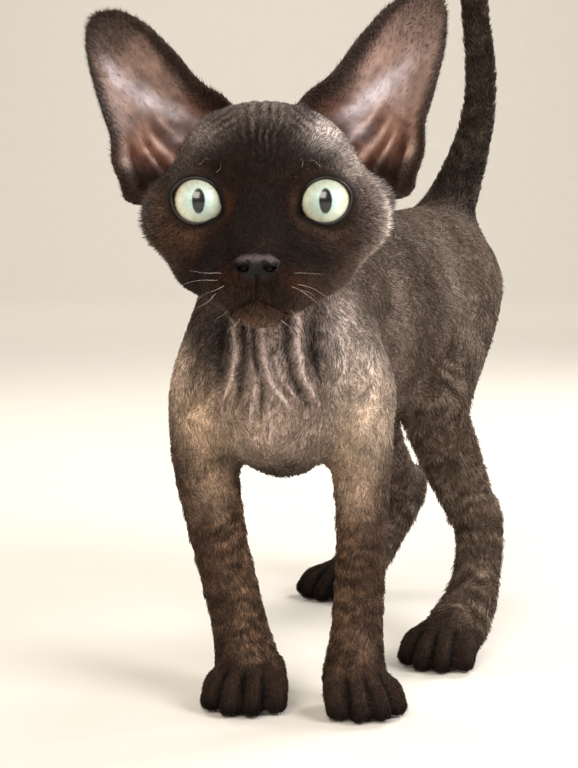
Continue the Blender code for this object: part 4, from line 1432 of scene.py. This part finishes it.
def makeTuftShapes():
    group = bpy.data.collections.new("tufts")
    for number, (middle, tip) in enumerate(tuftShapes):
        rings = [((-0.5, 0, 0), (0.5, 0, 0), (0, 0, 0.75))]
        if middle:
            x, y, z = middle
            rings.append(((x - 0.4, y, z), (x + 0.4, y, z), (x, y - 0.03, z + 0.55)))
        verts = [spot for ring in rings for spot in ring] + [tip]
        faces = [(2, 1, 0)]
        for k in range(len(rings) - 1):
            for a, b in ((0, 1), (1, 2), (2, 0)):
                faces += [(3 * k + a, 3 * k + b, 3 * k + 3 + b), (3 * k + a, 3 * k + 3 + b, 3 * k + 3 + a)]
        last = len(verts) - 4
        faces += [(last, last + 1, last + 3), (last + 1, last + 2, last + 3), (last + 2, last, last + 3)]
        mesh = bpy.data.meshes.new(f"tuft_{number}")
        mesh.from_pydata(verts, [], faces)
        spots = np.array(verts)
        # darker at the root, and a small flat map of its own
        setAttribute(mesh, "shade", "FLOAT", "POINT", 0.62 + 0.62 * spots[:, 1])
        patch = np.column_stack([np.clip(spots[:, 0], -0.5, 0.5), spots[:, 1] - 0.5, spots[:, 0] * 0])
        patch[2::3, 1] -= 0.05
        setAttribute(mesh, "patch", "FLOAT_VECTOR", "POINT", patch)
        group.objects.link(bpy.data.objects.new(f"tuft_{number}", mesh))
    return group


def makeCoatTree():
    # roots in, one solid tuft on each out, turned and sized by the roots' own attributes
    tree, given = newTree("rexedCoat", {"Roots": "Geometry", "Tufts": "Collection", "Patch size": "Float",
                                        "Fur": "Material"}, "Coat")

    def named(name, kind):
        found = addNode(tree, "GeometryNodeInputNamedAttribute", values={"Name": name}, data_type=kind)
        return found.outputs["Attribute"]

    shapes = addNode(tree, "GeometryNodeCollectionInfo", {"Collection": given["Tufts"]},
                     {"Separate Children": True, "Reset Children": True})
    grown = addNode(tree, "GeometryNodeInstanceOnPoints",
                    {"Points": given["Roots"], "Instance": shapes.outputs["Instances"],
                     "Instance Index": named("shape", "INT"), "Rotation": named("turned", "FLOAT_VECTOR"),
                     "Scale": named("size", "FLOAT_VECTOR")}, {"Pick Instance": True})
    solid = addNode(tree, "GeometryNodeRealizeInstances", {"Geometry": grown.outputs["Instances"]})
    tone = addNode(tree, "ShaderNodeVectorMath",
                   {0: named("tone", "FLOAT_VECTOR"), 1: named("shade", "FLOAT")}, operation="MULTIPLY")
    toned = addNode(tree, "GeometryNodeStoreNamedAttribute", {"Geometry": solid.outputs["Geometry"]},
                    {"Name": "markings"}, data_type="FLOAT_COLOR", domain="POINT")
    tree.links.new(tone.outputs["Vector"], toned.inputs["Value"])
    spot = addNode(tree, "ShaderNodeVectorMath",
                   {0: named("patch", "FLOAT_VECTOR"), 1: given["Patch size"],
                    2: named("place", "FLOAT_VECTOR")}, operation="MULTIPLY_ADD")
    mapped = addNode(tree, "GeometryNodeStoreNamedAttribute", {"Geometry": toned.outputs["Geometry"]},
                     {"Name": "OFBake"}, data_type="FLOAT2", domain="CORNER")
    tree.links.new(spot.outputs["Vector"], mapped.inputs["Value"])
    smooth = addNode(tree, "GeometryNodeSetShadeSmooth", {"Geometry": mapped.outputs["Geometry"]})
    addNode(tree, "NodeGroupOutput", {"Coat": addNode(
        tree, "GeometryNodeSetMaterial",
        {"Geometry": smooth.outputs["Geometry"], "Material": given["Fur"]}).outputs["Geometry"]})
    return tree


def grow(name, mesh, tree, values):
    # runs a tree on a mesh and keeps only the plain result
    obj = newObject(name, mesh)
    step = obj.modifiers.new("grow", "NODES")
    step.node_group = tree
    for item in tree.interface.items_tree:
        if item.in_out == "INPUT" and item.name in values:
            step[item.identifier] = values[item.name]
    ready = bpy.data.meshes.new_from_object(obj.evaluated_get(bpy.context.evaluated_depsgraph_get()))
    obj.modifiers.remove(step)
    obj.data = ready
    ready.name = name
    bpy.data.meshes.remove(mesh)
    return obj


def scatterRoots(rng, key):
    # roots spread over the skin by density, as the corners of their face and shares of each
    a, b, c = (skinPoints[tris[:, k]] for k in range(3))
    area = np.linalg.norm(np.cross(b - a, c - a), axis=1) / 2
    share, turn, face, which = earAt
    density = found[key].copy()
    onEar = which != 0
    if key == "flat":
        edge = np.maximum(ease(np.abs(turn), 0.7, 0.98), ease(share, 0.8, 1.0))
        inward = ease(-turn, 0.25, 0.75)
        pocket = ease(turn, 0.15, 0.5) * (1 - ease(share, -0.03, 0.07))
        silver = (1 - ease(share, 0.02, 0.18)) * (1 - ease(turn, -0.5, -0.15))
        upper = 0.45 * ease(share, 0.55, 0.9)
        inner = 0.3 + 3.2 * np.maximum.reduce([edge, inward, pocket, silver, upper])
        density[onEar] = np.where(face[onEar] > 0, inner[onEar], 2.8)
        velvet = ease(-inHead(skinPoints)[:, 1], 0, 20) * found["weights"][0]
        density *= 1 + 0.35 * velvet
    else:
        density[onEar] = 0
    # none on the eyes, the nose leather and the soles, fewer on the ridges and the thin throat
    density *= ease(eyeRim, 0.9, 2.0)
    density *= 1 - noseShare(skinPoints)
    density[inSocket] = 0
    x, y, z = skinPoints.T
    density *= ease(z, 0.6, 2.0)
    density *= 1 - 0.7 * ridge * (z < 160)
    density *= 1 - 0.35 * bell(z, 132, 20) * bell(x, -6, 16) * (y < 20)
    wanted = area * density[tris].mean(1)
    count = np.floor(wanted + rng.random(len(wanted))).astype(int)
    owner = np.repeat(np.arange(len(tris)), count)
    u, v = rng.random((2, len(owner)))
    flip = u + v > 1
    u[flip], v[flip] = 1 - u[flip], 1 - v[flip]
    return tris[owner], np.column_stack([1 - u - v, u, v])


def bakePlaces(points, normals, region):
    # unwrap of the skin's own shape: one tile for each region and the way the skin faces
    axis = np.abs(normals).argmax(1)
    sign = (normals[np.arange(len(normals)), axis] > 0).astype(int)
    tile = region * 6 + axis * 2 + sign
    flat = np.where((axis == 0)[:, None], points[:, [1, 2]], points[:, [0, 1]])
    flat = np.where((axis == 1)[:, None], points[:, [0, 2]], flat)
    columns = tuft["tileColumns"]
    places = np.zeros((len(points), 2))
    for number in np.unique(tile):
        own = tile == number
        low, high = flat[own].min(0), flat[own].max(0)
        widest = np.maximum((high - low).max(), 1.0)
        cell = np.array([number % columns, number // columns]) / columns
        places[own] = cell + (0.05 + 0.9 * (flat[own] - low) / widest) / columns
    return places


def turnsOf(along, normals):
    # Euler turns that take a tuft's length to this way, its flat side towards the skin
    across = unit(np.cross(along, normals))
    above = np.cross(across, along)
    return np.column_stack([np.arctan2(along[:, 2], above[:, 2]), np.arcsin(np.clip(-across[:, 2], -1, 1)),
                            np.arctan2(across[:, 1], across[:, 0])])


def rootsOf(rng, key):
    # every value that a tuft of this kind needs, at its own root
    corners, shares = scatterRoots(rng, key)

    def mixed(values):
        values = np.asarray(values).reshape(len(skinPoints), -1)
        return sum(values[corners[:, k]] * shares[:, k:k + 1] for k in range(3))

    def mixedOne(name):
        return mixed(found[name])[:, 0]

    curled = key == "curled"
    roots = mixed(skinPoints)
    count = len(roots)
    normals = unit(mixed(skinNormals))
    lie = mixed(found["lie"])
    tone = mixed(colour)
    share, turn, face, which = (row[corners[:, 0]] for row in earAt)
    ripple, waving = mixedOne("ripple"), mixedOne("waving")
    region = found["weights"][:, corners[:, 0]].argmax(0)
    length = mixedOne("length" if curled else "flatLength") * rng.uniform(0.65, 1.3, count)
    width = mixedOne("width" if curled else "flatWidth") * rng.uniform(0.8, 1.25, count)
    lift = mixedOne("lift") * (1 + 0.6 * ripple) * (1.0 if curled else 0.9)
    # short velvet on the front of the face, shorter still at the lids, a fringe on the cheeks
    x, y, z = inHead(roots).T
    fringe = bell(np.abs(x), 41 - 10 * ease(-z, 12, 32), 5.5) * bell(z, -13, 19) * (region == 0)
    front = ease(-y, -2, 22) * (region == 0)
    crown = bell(z, 30, 14) * bell(x, 0, 22) * (region == 0)
    throat = bell(roots[:, 2], 128, 22) * bell(roots[:, 0], -6, 22) * (roots[:, 1] < 25)
    lids = ease(eyeGap(roots)[0], 1.0, 7.0)
    for change in (1 + 0.8 * fringe, 1 - 0.36 * front, 1 - 0.35 * crown, 0.45 + 0.55 * lids,
                   1 - 0.35 * throat):
        length *= change
    width *= 1 - 0.2 * front
    lift = lift + 12 * fringe
    # ears: fine hair behind, sparse fine hair in the cup, a dense fringe on the margins
    onEar = which != 0
    inCup = onEar & (face > 0)
    for name, data in ears.items():
        frameOfEar = earFrame(name)
        own = onEar & (which == data[4])
        lie[own] = frameOfEar[3] + np.outer(turn[own] * 0.55, frameOfEar[1])
    edge = np.maximum.reduce([ease(-turn, 0.3, 0.8), ease(turn, 0.7, 0.95), ease(share, 0.5, 0.9),
                              ease(turn, 0.15, 0.5) * (1 - ease(share, -0.03, 0.07))])
    length = np.where(onEar, 2.1 * rng.uniform(0.7, 1.3, count), length)
    length = np.where(inCup, (2.7 - 0.8 * edge) * rng.uniform(0.6, 1.4, count), length)
    width = np.where(inCup, 0.13 + 0.14 * edge, np.where(onEar, 0.3, width))
    lift = np.where(onEar, 17, lift)
    tone = np.where(inCup[:, None], tone * 1.2, tone)
    region = np.where(onEar, len(coatKinds), region)
    uneven = np.where(onEar, 0.3, mixedOne("uneven"))
    tone = tone * (1 + uneven * rng.uniform(-1, 1, count))[:, None]
    # turn each tuft: its length along the lie, a little lifted, curling with its neighbours
    lie = unit(lie - normals * (lie * normals).sum(1)[:, None])
    aim = rng.normal(0, 0.13, count) + 0.32 * drift(roots, 6.5, 61) * (0.2 + waving) * ~onEar
    lie = unit(lie * np.cos(aim)[:, None] + np.cross(normals, lie) * np.sin(aim)[:, None])
    steep = np.radians(lift * rng.uniform(0.5, 1.4, count))[:, None]
    along = lie * np.cos(steep) + normals * np.sin(steep)
    low, high = (tuft["flatKinds"], len(tuftShapes)) if curled else (0, tuft["flatKinds"])
    return {
        "co": roots - normals * tuft["sink"],
        "turned": turnsOf(along, normals),
        "size": np.column_stack([width, length, width]) * mm,
        "tone": tone,
        "place": np.column_stack([bakePlaces(roots, normals, region), np.zeros(count)]),
        "shape": rng.integers(low, high, count),
        "region": region,
    }


def growPiece(label, rows, tree, values):
    # one coat piece from its own roots, with nothing left on it but its colour and its map
    vectors = ("turned", "size", "tone", "place")
    mesh = bpy.data.meshes.new(label + "_roots")
    mesh.vertices.add(len(rows["co"]))
    movePoints(mesh, toModel(rows["co"]))
    for key in vectors:
        setAttribute(mesh, key, "FLOAT_VECTOR", "POINT", rows[key])
    layer = mesh.attributes.new("shape", "INT", "POINT")
    layer.data.foreach_set("value", rows["shape"].astype(np.int32))
    piece = grow(label, mesh, tree, values)
    for key in (*vectors, "shape", "shade", "patch"):
        if key in piece.data.attributes:
            piece.data.attributes.remove(piece.data.attributes[key])
    points = pointsOf(piece.data)
    points[:, 2] = np.maximum(points[:, 2], tuft["aboveFloor"])
    movePoints(piece.data, points)
    print("  ", label, len(rows["co"]), "tufts,", len(piece.data.polygons), "triangles")
    return piece


def makeCoat():
    rng = np.random.default_rng(tuft["seed"])
    kinds = [rootsOf(rng, key) for key in ("flat", "curled")]
    rows = {key: np.concatenate([kind[key] for kind in kinds]) for key in kinds[0]}
    tree, shapes = makeCoatTree(), makeTuftShapes()
    values = {"Tufts": shapes, "Patch size": tuft["bakePatch"], "Fur": coatMaterial()}
    cost = np.where(rows["shape"] < tuft["flatKinds"], *tuft["triangles"])
    made = []
    for number, kind in enumerate(coatKinds + ["ear"]):
        own = np.nonzero(rows["region"] == number)[0]
        own = own[np.argsort(rows["co"][own, 1], kind="stable")]
        parts = math.ceil(cost[own].sum() / tuft["mostTriangles"])
        part = np.minimum((np.cumsum(cost[own]) / cost[own].sum() * parts).astype(int), parts - 1)
        for k in range(parts):
            chosen = own[part == k]
            label = f"coat_{kind}" + (f"_{k + 1}" if parts > 1 else "")
            made.append(growPiece(label, {key: rows[key][chosen] for key in rows}, tree, values))
    for shape in list(shapes.objects):
        bpy.data.objects.remove(shape)
    bpy.data.collections.remove(shapes)
    return made


print("coat")
coatPieces = makeCoat()
movePoints(skin.data, toModel(skinPoints))

# the camera's place in the same mm as the forms, its tilt and its lens in pixels of the photo's height
viewer = {"place": (0.0, -591.0, 183.389), "tilt": math.radians(5.848), "lens": 1650, "height": 768}
iris = {
    "stops": ((0.0, "86a3a8"), (0.22, "9cb6b4"), (0.38, "aec1b5"), (0.54, "b7c3b2"), (0.70, "bcc3b0"),
              (0.82, "b4b3a0"), (0.90, "73644a"), (0.97, "1d1713")),
    "reach": 10.0,              # mm from the middle to the last stop
    "pupil": (1.95, 4.0),       # half width and half height in mm
    "pupilColour": "08090c",
    "fibres": 60,               # round the iris
    "lookAt": (0.0, -591.0, 183.4),     # where the gaze is drawn to, in the mm of the forms
    "rings": 60,
    "segments": 96,
}


def eyeMaterial():
    # pale green iris with fine radial fibres round an upright slit, under a wet clear cornea
    made, tree, shader = newMaterial("iris under wet cornea", Roughness=0.22, Coat_Weight=0.42,
                                     Coat_Roughness=0.015, Coat_IOR=1.376)
    flat = addNode(tree, "ShaderNodeUVMap", uv_map="irisPlane").outputs["UV"]
    polar = addNode(tree, "ShaderNodeUVMap", uv_map="irisPolar").outputs["UV"]
    parts = addNode(tree, "ShaderNodeSeparateXYZ", {"Vector": flat}).outputs
    radius = addNode(tree, "ShaderNodeVectorMath", {0: flat}, operation="LENGTH").outputs["Value"]
    fibres = addNode(tree, "ShaderNodeTexNoise", {"Vector": polar}, {"Scale": 1.0, "Detail": 3.0})
    soft = addNode(tree, "ShaderNodeTexNoise", {"Vector": flat}, {"Scale": 0.35, "Detail": 3.0})
    # rings of colour, a little jagged by the fibres
    jitter = addNode(tree, "ShaderNodeMath", {0: fibres.outputs["Fac"]}, {1: 0.5}, operation="SUBTRACT")
    jagged = addNode(tree, "ShaderNodeMath", {0: jitter.outputs[0], 2: radius}, {1: 1.5},
                     operation="MULTIPLY_ADD")
    outward = addNode(tree, "ShaderNodeMath", {0: jagged.outputs[0]}, {1: iris["reach"]}, operation="DIVIDE")
    rings = addNode(tree, "ShaderNodeValToRGB", {"Fac": outward.outputs[0]})
    setStops(rings, iris["stops"])
    # fibres, soft clouds and the shadow of the upper lid
    shade = addNode(tree, "ShaderNodeMapRange", {"Value": fibres.outputs["Fac"]}, spread(0.87, 1.12))
    cloud = addNode(tree, "ShaderNodeMapRange", {"Value": soft.outputs["Fac"]}, spread(0.88, 1.1))
    underLid = addNode(tree, "ShaderNodeMapRange", {"Value": parts["Y"]},
                       {"From Min": 2.0, "From Max": 7.5, "To Min": 1.0, "To Max": 0.55})
    for other in (cloud, underLid):
        shade = addNode(tree, "ShaderNodeMath", {0: shade.outputs[0], 1: other.outputs[0]},
                        operation="MULTIPLY")
    coloured = addNode(tree, "ShaderNodeVectorMath", {0: rings.outputs["Color"], 1: shade.outputs[0]},
                       operation="MULTIPLY")
    # upright oval pupil with a soft edge
    x, y = (addNode(tree, "ShaderNodeMath", {0: parts[key]}, {1: half}, operation="DIVIDE").outputs[0]
            for key, half in zip("XY", iris["pupil"]))
    x = addNode(tree, "ShaderNodeMath", {0: x, 1: x}, operation="MULTIPLY").outputs[0]
    oval = addNode(tree, "ShaderNodeMath", {0: y, 1: y, 2: x}, operation="MULTIPLY_ADD")
    slit = addNode(tree, "ShaderNodeMapRange", {"Value": oval.outputs[0]},
                   {"From Min": 0.82, "From Max": 1.25})
    final = addNode(tree, "ShaderNodeMix", data_type="RGBA")
    tree.links.new(slit.outputs["Result"], final.inputs[0])
    dark, pale = [socket for socket in final.inputs if socket.type == "RGBA"]
    dark.default_value = (*linear(iris["pupilColour"]), 1)
    tree.links.new(coloured.outputs["Vector"], pale)
    mixed = [socket for socket in final.outputs if socket.type == "RGBA"][0]
    tree.links.new(mixed, shader.inputs["Base Color"])
    return made


def unitOf(vector):
    return unit(vector[None])[0]


def finished(mesh, material):
    mesh.shade_smooth()
    mesh.materials.append(material)
    return mesh


def makeEye(name, side, material):
    # rings from the pole out, so that the iris has its own exact map; the slit stays upright
    centre = np.array(eyeCentre(side))
    look = unitOf(unitOf(np.array(iris["lookAt"]) - centre) * 0.75 + eyeFrame(side)[2] * 0.25)
    across = unitOf(np.cross([0, 0, 1.0], look))
    up = np.cross(look, across)
    ball = eye["radius"] - 0.02
    rings, segments = iris["rings"], iris["segments"]
    builder = bmesh.new()
    planeMap = builder.loops.layers.uv.new("irisPlane")
    polarMap = builder.loops.layers.uv.new("irisPolar")
    rows = []
    for i in range(1, rings):
        angle = math.pi * i / rings
        rise = 0.0
        if angle < eye["corneaHalfAngle"]:
            rise = eye["corneaRise"] * (0.5 + 0.5 * math.cos(math.pi * angle / eye["corneaHalfAngle"]))
        row = []
        for k in range(segments):
            turn = math.tau * k / segments
            flat = across * math.cos(turn) + up * math.sin(turn)
            spot = centre + (look * math.cos(angle) + flat * math.sin(angle)) * (ball + rise)
            row.append(builder.verts.new(toModel(spot)))
        rows.append(row)
    front = builder.verts.new(toModel(centre + look * (ball + eye["corneaRise"])))
    back = builder.verts.new(toModel(centre - look * ball))

    def addFace(verts, corners):
        for loop, (i, k) in zip(builder.faces.new(verts).loops, corners):
            turn = math.tau * k / segments
            r = math.pi * i / rings * eye["radius"]
            loop[planeMap].uv = (r * math.cos(turn), r * math.sin(turn))
            loop[polarMap].uv = (k / segments * iris["fibres"], r * 0.22)

    for k in range(segments):
        n = k + 1
        j = n % segments
        addFace((front, rows[0][k], rows[0][j]), ((0, k), (1, k), (1, n)))
        addFace((back, rows[-1][j], rows[-1][k]), ((rings, k), (rings - 1, n), (rings - 1, k)))
        for i, (a, b) in enumerate(zip(rows[:-1], rows[1:])):
            addFace((a[k], b[k], b[j], a[j]), ((i + 1, k), (i + 2, k), (i + 2, n), (i + 1, n)))
    bmesh.ops.recalc_face_normals(builder, faces=builder.faces)
    return newObject(name, finished(stored(builder, bpy.data.meshes.new(name)), material))


def noisyMaterial(name, size, detail, ends, **sockets):
    # a finish whose colour wanders between two hex values
    made, tree, shader = newMaterial(name, **sockets)
    place = addNode(tree, "ShaderNodeTexCoord").outputs["Object"]
    noise = addNode(tree, "ShaderNodeTexNoise", {"Vector": place},
                    {"Scale": perFeature(size), "Detail": detail}).outputs["Fac"]
    ramp = addNode(tree, "ShaderNodeValToRGB", {"Fac": noise})
    setStops(ramp, list(zip((0.0, 1.0), ends)))
    tree.links.new(ramp.outputs["Color"], shader.inputs["Base Color"])
    return made, tree, shader, noise


def lidMaterial():
    # bare lid margin: black, moist, with a fine grain
    made, tree, shader, noise = noisyMaterial("moist lid margin", 0.7, 3.0, ("0a0706", "1c1411"),
                                              Roughness=0.42, Specular_IOR_Level=0.3)
    roughened(tree, shader, noise, 0.3, 0.15)
    return made


lidRing = {"steps": 96, "sides": 12, "radius": 0.5, "inset": 0.05}


def makeLid(name, side, material):
    # a soft closed ring that rests on the eyeball along the edge of the opening
    across, up, out = eyeFrame(side)
    centre = np.array(eyeCentre(side))
    steps, sides = lidRing["steps"], lidRing["sides"]
    verts, faces = [], []
    for i in range(steps):
        angle = math.tau * i / steps
        flat = across * math.cos(angle) + up * math.sin(angle)
        reach = rimReach(np.array([angle]), side)[0] - lidRing["inset"]
        ahead = math.sqrt(max((eye["radius"] + lidRing["radius"]) ** 2 - reach ** 2, 4.0))
        spine = centre + flat * reach + out * ahead
        outward = (spine - centre) / np.linalg.norm(spine - centre)
        sideways = flat - outward * (flat @ outward)
        sideways /= np.linalg.norm(sideways)
        for k in range(sides):
            turn = math.tau * k / sides
            verts.append(toModel(spine + outward * math.sin(turn) * lidRing["radius"]
                                 + sideways * math.cos(turn) * lidRing["radius"]))
            a, b = i * sides, (i + 1) % steps * sides
            faces.append((a + k, a + (k + 1) % sides, b + (k + 1) % sides, b + k))
    mesh = bpy.data.meshes.new(name)
    mesh.from_pydata([tuple(v) for v in verts], [], faces)
    builder = opened(mesh)
    bmesh.ops.recalc_face_normals(builder, faces=builder.faces)
    return newObject(name, finished(stored(builder, mesh), material))


print("eyes")
irisFinish, lidFinish = eyeMaterial(), lidMaterial()
eyePieces = {name: makeEye(name, side, irisFinish)
             for name, side in (("eyeball_right", -1), ("eyeball_left", 1))}
lidPieces = [makeLid(name, side, lidFinish) for name, side in (("lid_rim_right", -1), ("lid_rim_left", 1))]

# whiskers and the few longer hairs of brow and chin, as places on the face seen from ahead, way
# out and length in mm, for one side; the other is mirrored
whiskers = {
    "seed": 19,
    "thickness": 0.1,
    "steps": 12,
    "crimp": 0.9,
    "droop": 0.14,
    "pad": ((10.5, -23.5, (1.0, -0.35, 0.10), 13.0), (12.0, -25.4, (1.0, -0.25, -0.22), 15.5),
            (10.0, -27.0, (1.0, -0.35, -0.35), 11.0), (12.4, -28.6, (0.9, -0.25, -0.6), 8.0)),
    "brow": ((14.0, 9.5, (-0.25, -0.6, 0.9), 5.5), (19.0, 11.5, (-0.7, -0.5, 0.35), 5.0)),
    "chin": ((3.0, -39.0, (0.25, -0.6, -0.7), 5.5), (6.4, -37.6, (0.6, -0.5, -0.7), 6.5),
             (9.6, -35.0, (0.8, -0.4, -0.5), 6.0)),
}


def makeHairTree():
    # a line of points becomes a tapered round hair, as thick as its own attribute says
    tree, given = newTree("whisker", {"Lines": "Geometry", "Sides": "Int", "Keratin": "Material"}, "Hairs")
    thick = addNode(tree, "GeometryNodeInputNamedAttribute", values={"Name": "thick"}, data_type="FLOAT")
    curve = addNode(tree, "GeometryNodeMeshToCurve", {"Mesh": given["Lines"]})
    sized = addNode(tree, "GeometryNodeSetCurveRadius",
                    {"Curve": curve.outputs["Curve"], "Radius": thick.outputs["Attribute"]})
    ring = addNode(tree, "GeometryNodeCurvePrimitiveCircle", {"Resolution": given["Sides"]}, {"Radius": 1.0})
    solid = addNode(tree, "GeometryNodeCurveToMesh",
                    {"Curve": sized.outputs["Curve"], "Profile Curve": ring.outputs["Curve"]},
                    {"Fill Caps": True})
    if "Scale" in solid.inputs:
        tree.links.new(thick.outputs["Attribute"], solid.inputs["Scale"])
    smooth = addNode(tree, "GeometryNodeSetShadeSmooth", {"Geometry": solid.outputs["Mesh"]})
    real = addNode(tree, "GeometryNodeRealizeInstances", {"Geometry": smooth.outputs["Geometry"]})
    addNode(tree, "NodeGroupOutput", {"Hairs": addNode(
        tree, "GeometryNodeSetMaterial",
        {"Geometry": real.outputs["Geometry"], "Material": given["Keratin"]}).outputs["Geometry"]})
    return tree


def makeWhiskers():
    rng = np.random.default_rng(whiskers["seed"])
    steps = whiskers["steps"]
    spots, edges, thick = [], [], []
    for group in ("pad", "brow", "chin"):
        for side in (-1, 1):
            for x, z, way, length in whiskers[group]:
                x, z = x + rng.normal(0, 0.5), z + rng.normal(0, 0.4)
                root = np.array(onFace(side * x, z, 0.6))
                way = np.array([way[0] * side, way[1], way[2]]) + rng.normal(0, 0.12, 3)
                way /= np.linalg.norm(way)
                swing = np.cross(way, rng.normal(0, 1, 3))
                swing /= np.linalg.norm(swing)
                length = length * rng.uniform(0.85, 1.1)
                phase = rng.uniform(0, math.tau)
                for k in range(steps + 1):
                    t = k / steps
                    wave = whiskers["crimp"] * t * math.sin(phase + 5.0 * t)
                    sag = np.array([0, 0, -whiskers["droop"] * length * t * t])
                    spots.append(root + way * length * t + swing * wave + sag)
                    thick.append(whiskers["thickness"] / 2 * (1.02 - 0.85 * t) * mm)
                    if k:
                        edges.append((len(spots) - 2, len(spots) - 1))
    mesh = bpy.data.meshes.new("whisker_lines")
    mesh.from_pydata([tuple(v) for v in toModel(np.array(spots))], edges, [])
    setAttribute(mesh, "thick", "FLOAT", "POINT", thick)
    # clear pale keratin, glossy, in patches of darker and lighter tone
    keratin = noisyMaterial("whisker keratin", 3.0, 2.0, ("5c5048", "e6ddd2"), Roughness=0.3)[0]
    return grow("whiskers", mesh, makeHairTree(), {"Sides": 6, "Keratin": keratin})


print("whiskers")
whiskerPiece = makeWhiskers()
print("  ", len(whiskerPiece.data.polygons), "faces")

# plain floor that sweeps up into a wall far behind, in metres, and soft lamps
studio = {
    "floor": ("d8d3cb", "d3cec6"),
    "grain": 100 / 3,           # mm
    "reach": 5.0,
    "wallStarts": 3.0,
    "bend": 2.0,
    "wallTop": 4.0,
    "world": ("eeebe6", 0.42),
    "lights": [
        # place, aim, size in metres, watts, colour
        ((-0.35, -1.25, 0.95), (0, -0.05, 0.17), 0.8, 23, "fff3e4"),
        ((0.95, -0.7, 0.75), (0, -0.05, 0.16), 0.7, 20, "fbf9fa"),
        ((0.75, 0.75, 0.85), (0.0, 0.0, 0.2), 0.5, 14, "fffaf4"),
        ((-0.7, 0.7, 0.8), (0.0, 0.0, 0.2), 0.5, 5, "fffaf2"),
        ((0.0, 2.2, 2.6), (0.0, 4.6, 0.6), 2.5, 75, "fff8ee"),
    ],
}


def makeFloor():
    # matt painted board
    floor = noisyMaterial("matt studio floor", studio["grain"], 2.0, studio["floor"], Roughness=0.75)[0]
    wide, start, bend = studio["reach"], studio["wallStarts"], studio["bend"]
    profile = [(-wide, 0.0), (start, 0.0)]
    for a in np.linspace(0.05, math.pi / 2, 16):
        profile.append((start + bend * math.sin(a), bend - bend * math.cos(a)))
    profile.append((start + bend, studio["wallTop"]))
    verts = [(x, y, z) for y, z in profile for x in (-wide, wide)]
    mesh = bpy.data.meshes.new("floor")
    mesh.from_pydata(verts, [], [(2 * i, 2 * i + 1, 2 * i + 3, 2 * i + 2) for i in range(len(profile) - 1)])
    finished(mesh, floor)
    newObject("floor", mesh)


def makeLights():
    for number, (place, aim, size, watts, hexText) in enumerate(studio["lights"]):
        light = bpy.data.lights.new(f"soft_{number}", "AREA")
        light.shape = "SQUARE"
        light.size = size
        light.energy = watts
        light.color = tuple(linear(hexText))
        lamp = newObject(f"soft_{number}", light)
        lamp.location = place
        lamp.rotation_euler = (Vector(aim) - Vector(place)).to_track_quat("-Z", "Y").to_euler()
    world = bpy.data.worlds.new("studio")
    world.use_nodes = True
    background = world.node_tree.nodes["Background"]
    hexText, strength = studio["world"]
    background.inputs["Color"].default_value = (*linear(hexText), 1)
    background.inputs["Strength"].default_value = strength
    bpy.context.scene.world = world


def makeCamera():
    lens = bpy.data.cameras.new("camera")
    lens.sensor_fit = "VERTICAL"
    lens.sensor_height = 36.0
    lens.lens = viewer["lens"] / viewer["height"] * lens.sensor_height
    lens.clip_start = 0.01
    lens.clip_end = 30
    camera = newObject("camera", lens)
    camera.location = toModel(np.array(viewer["place"]))
    camera.rotation_euler = (math.pi / 2 - viewer["tilt"], 0, 0)
    bpy.context.scene.camera = camera


print("studio")
makeFloor()
makeLights()
makeCamera()
view = bpy.context.scene.view_settings
view.view_transform = "Standard"
view.look = "None"

# hide the frame's flesh and eye nodes and hang the new pieces on the root body
flesh = [name for name in frame["nodes"] if not name.startswith("eye_")]
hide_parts(*flesh)
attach(skin, "root")
for name, piece in eyePieces.items():
    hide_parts(name.replace("eyeball", "eye"))
    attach(piece, "root")
for piece in lidPieces + coatPieces + [whiskerPiece]:
    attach(piece, "root")

print("pieces:", len(coatPieces) + 6)
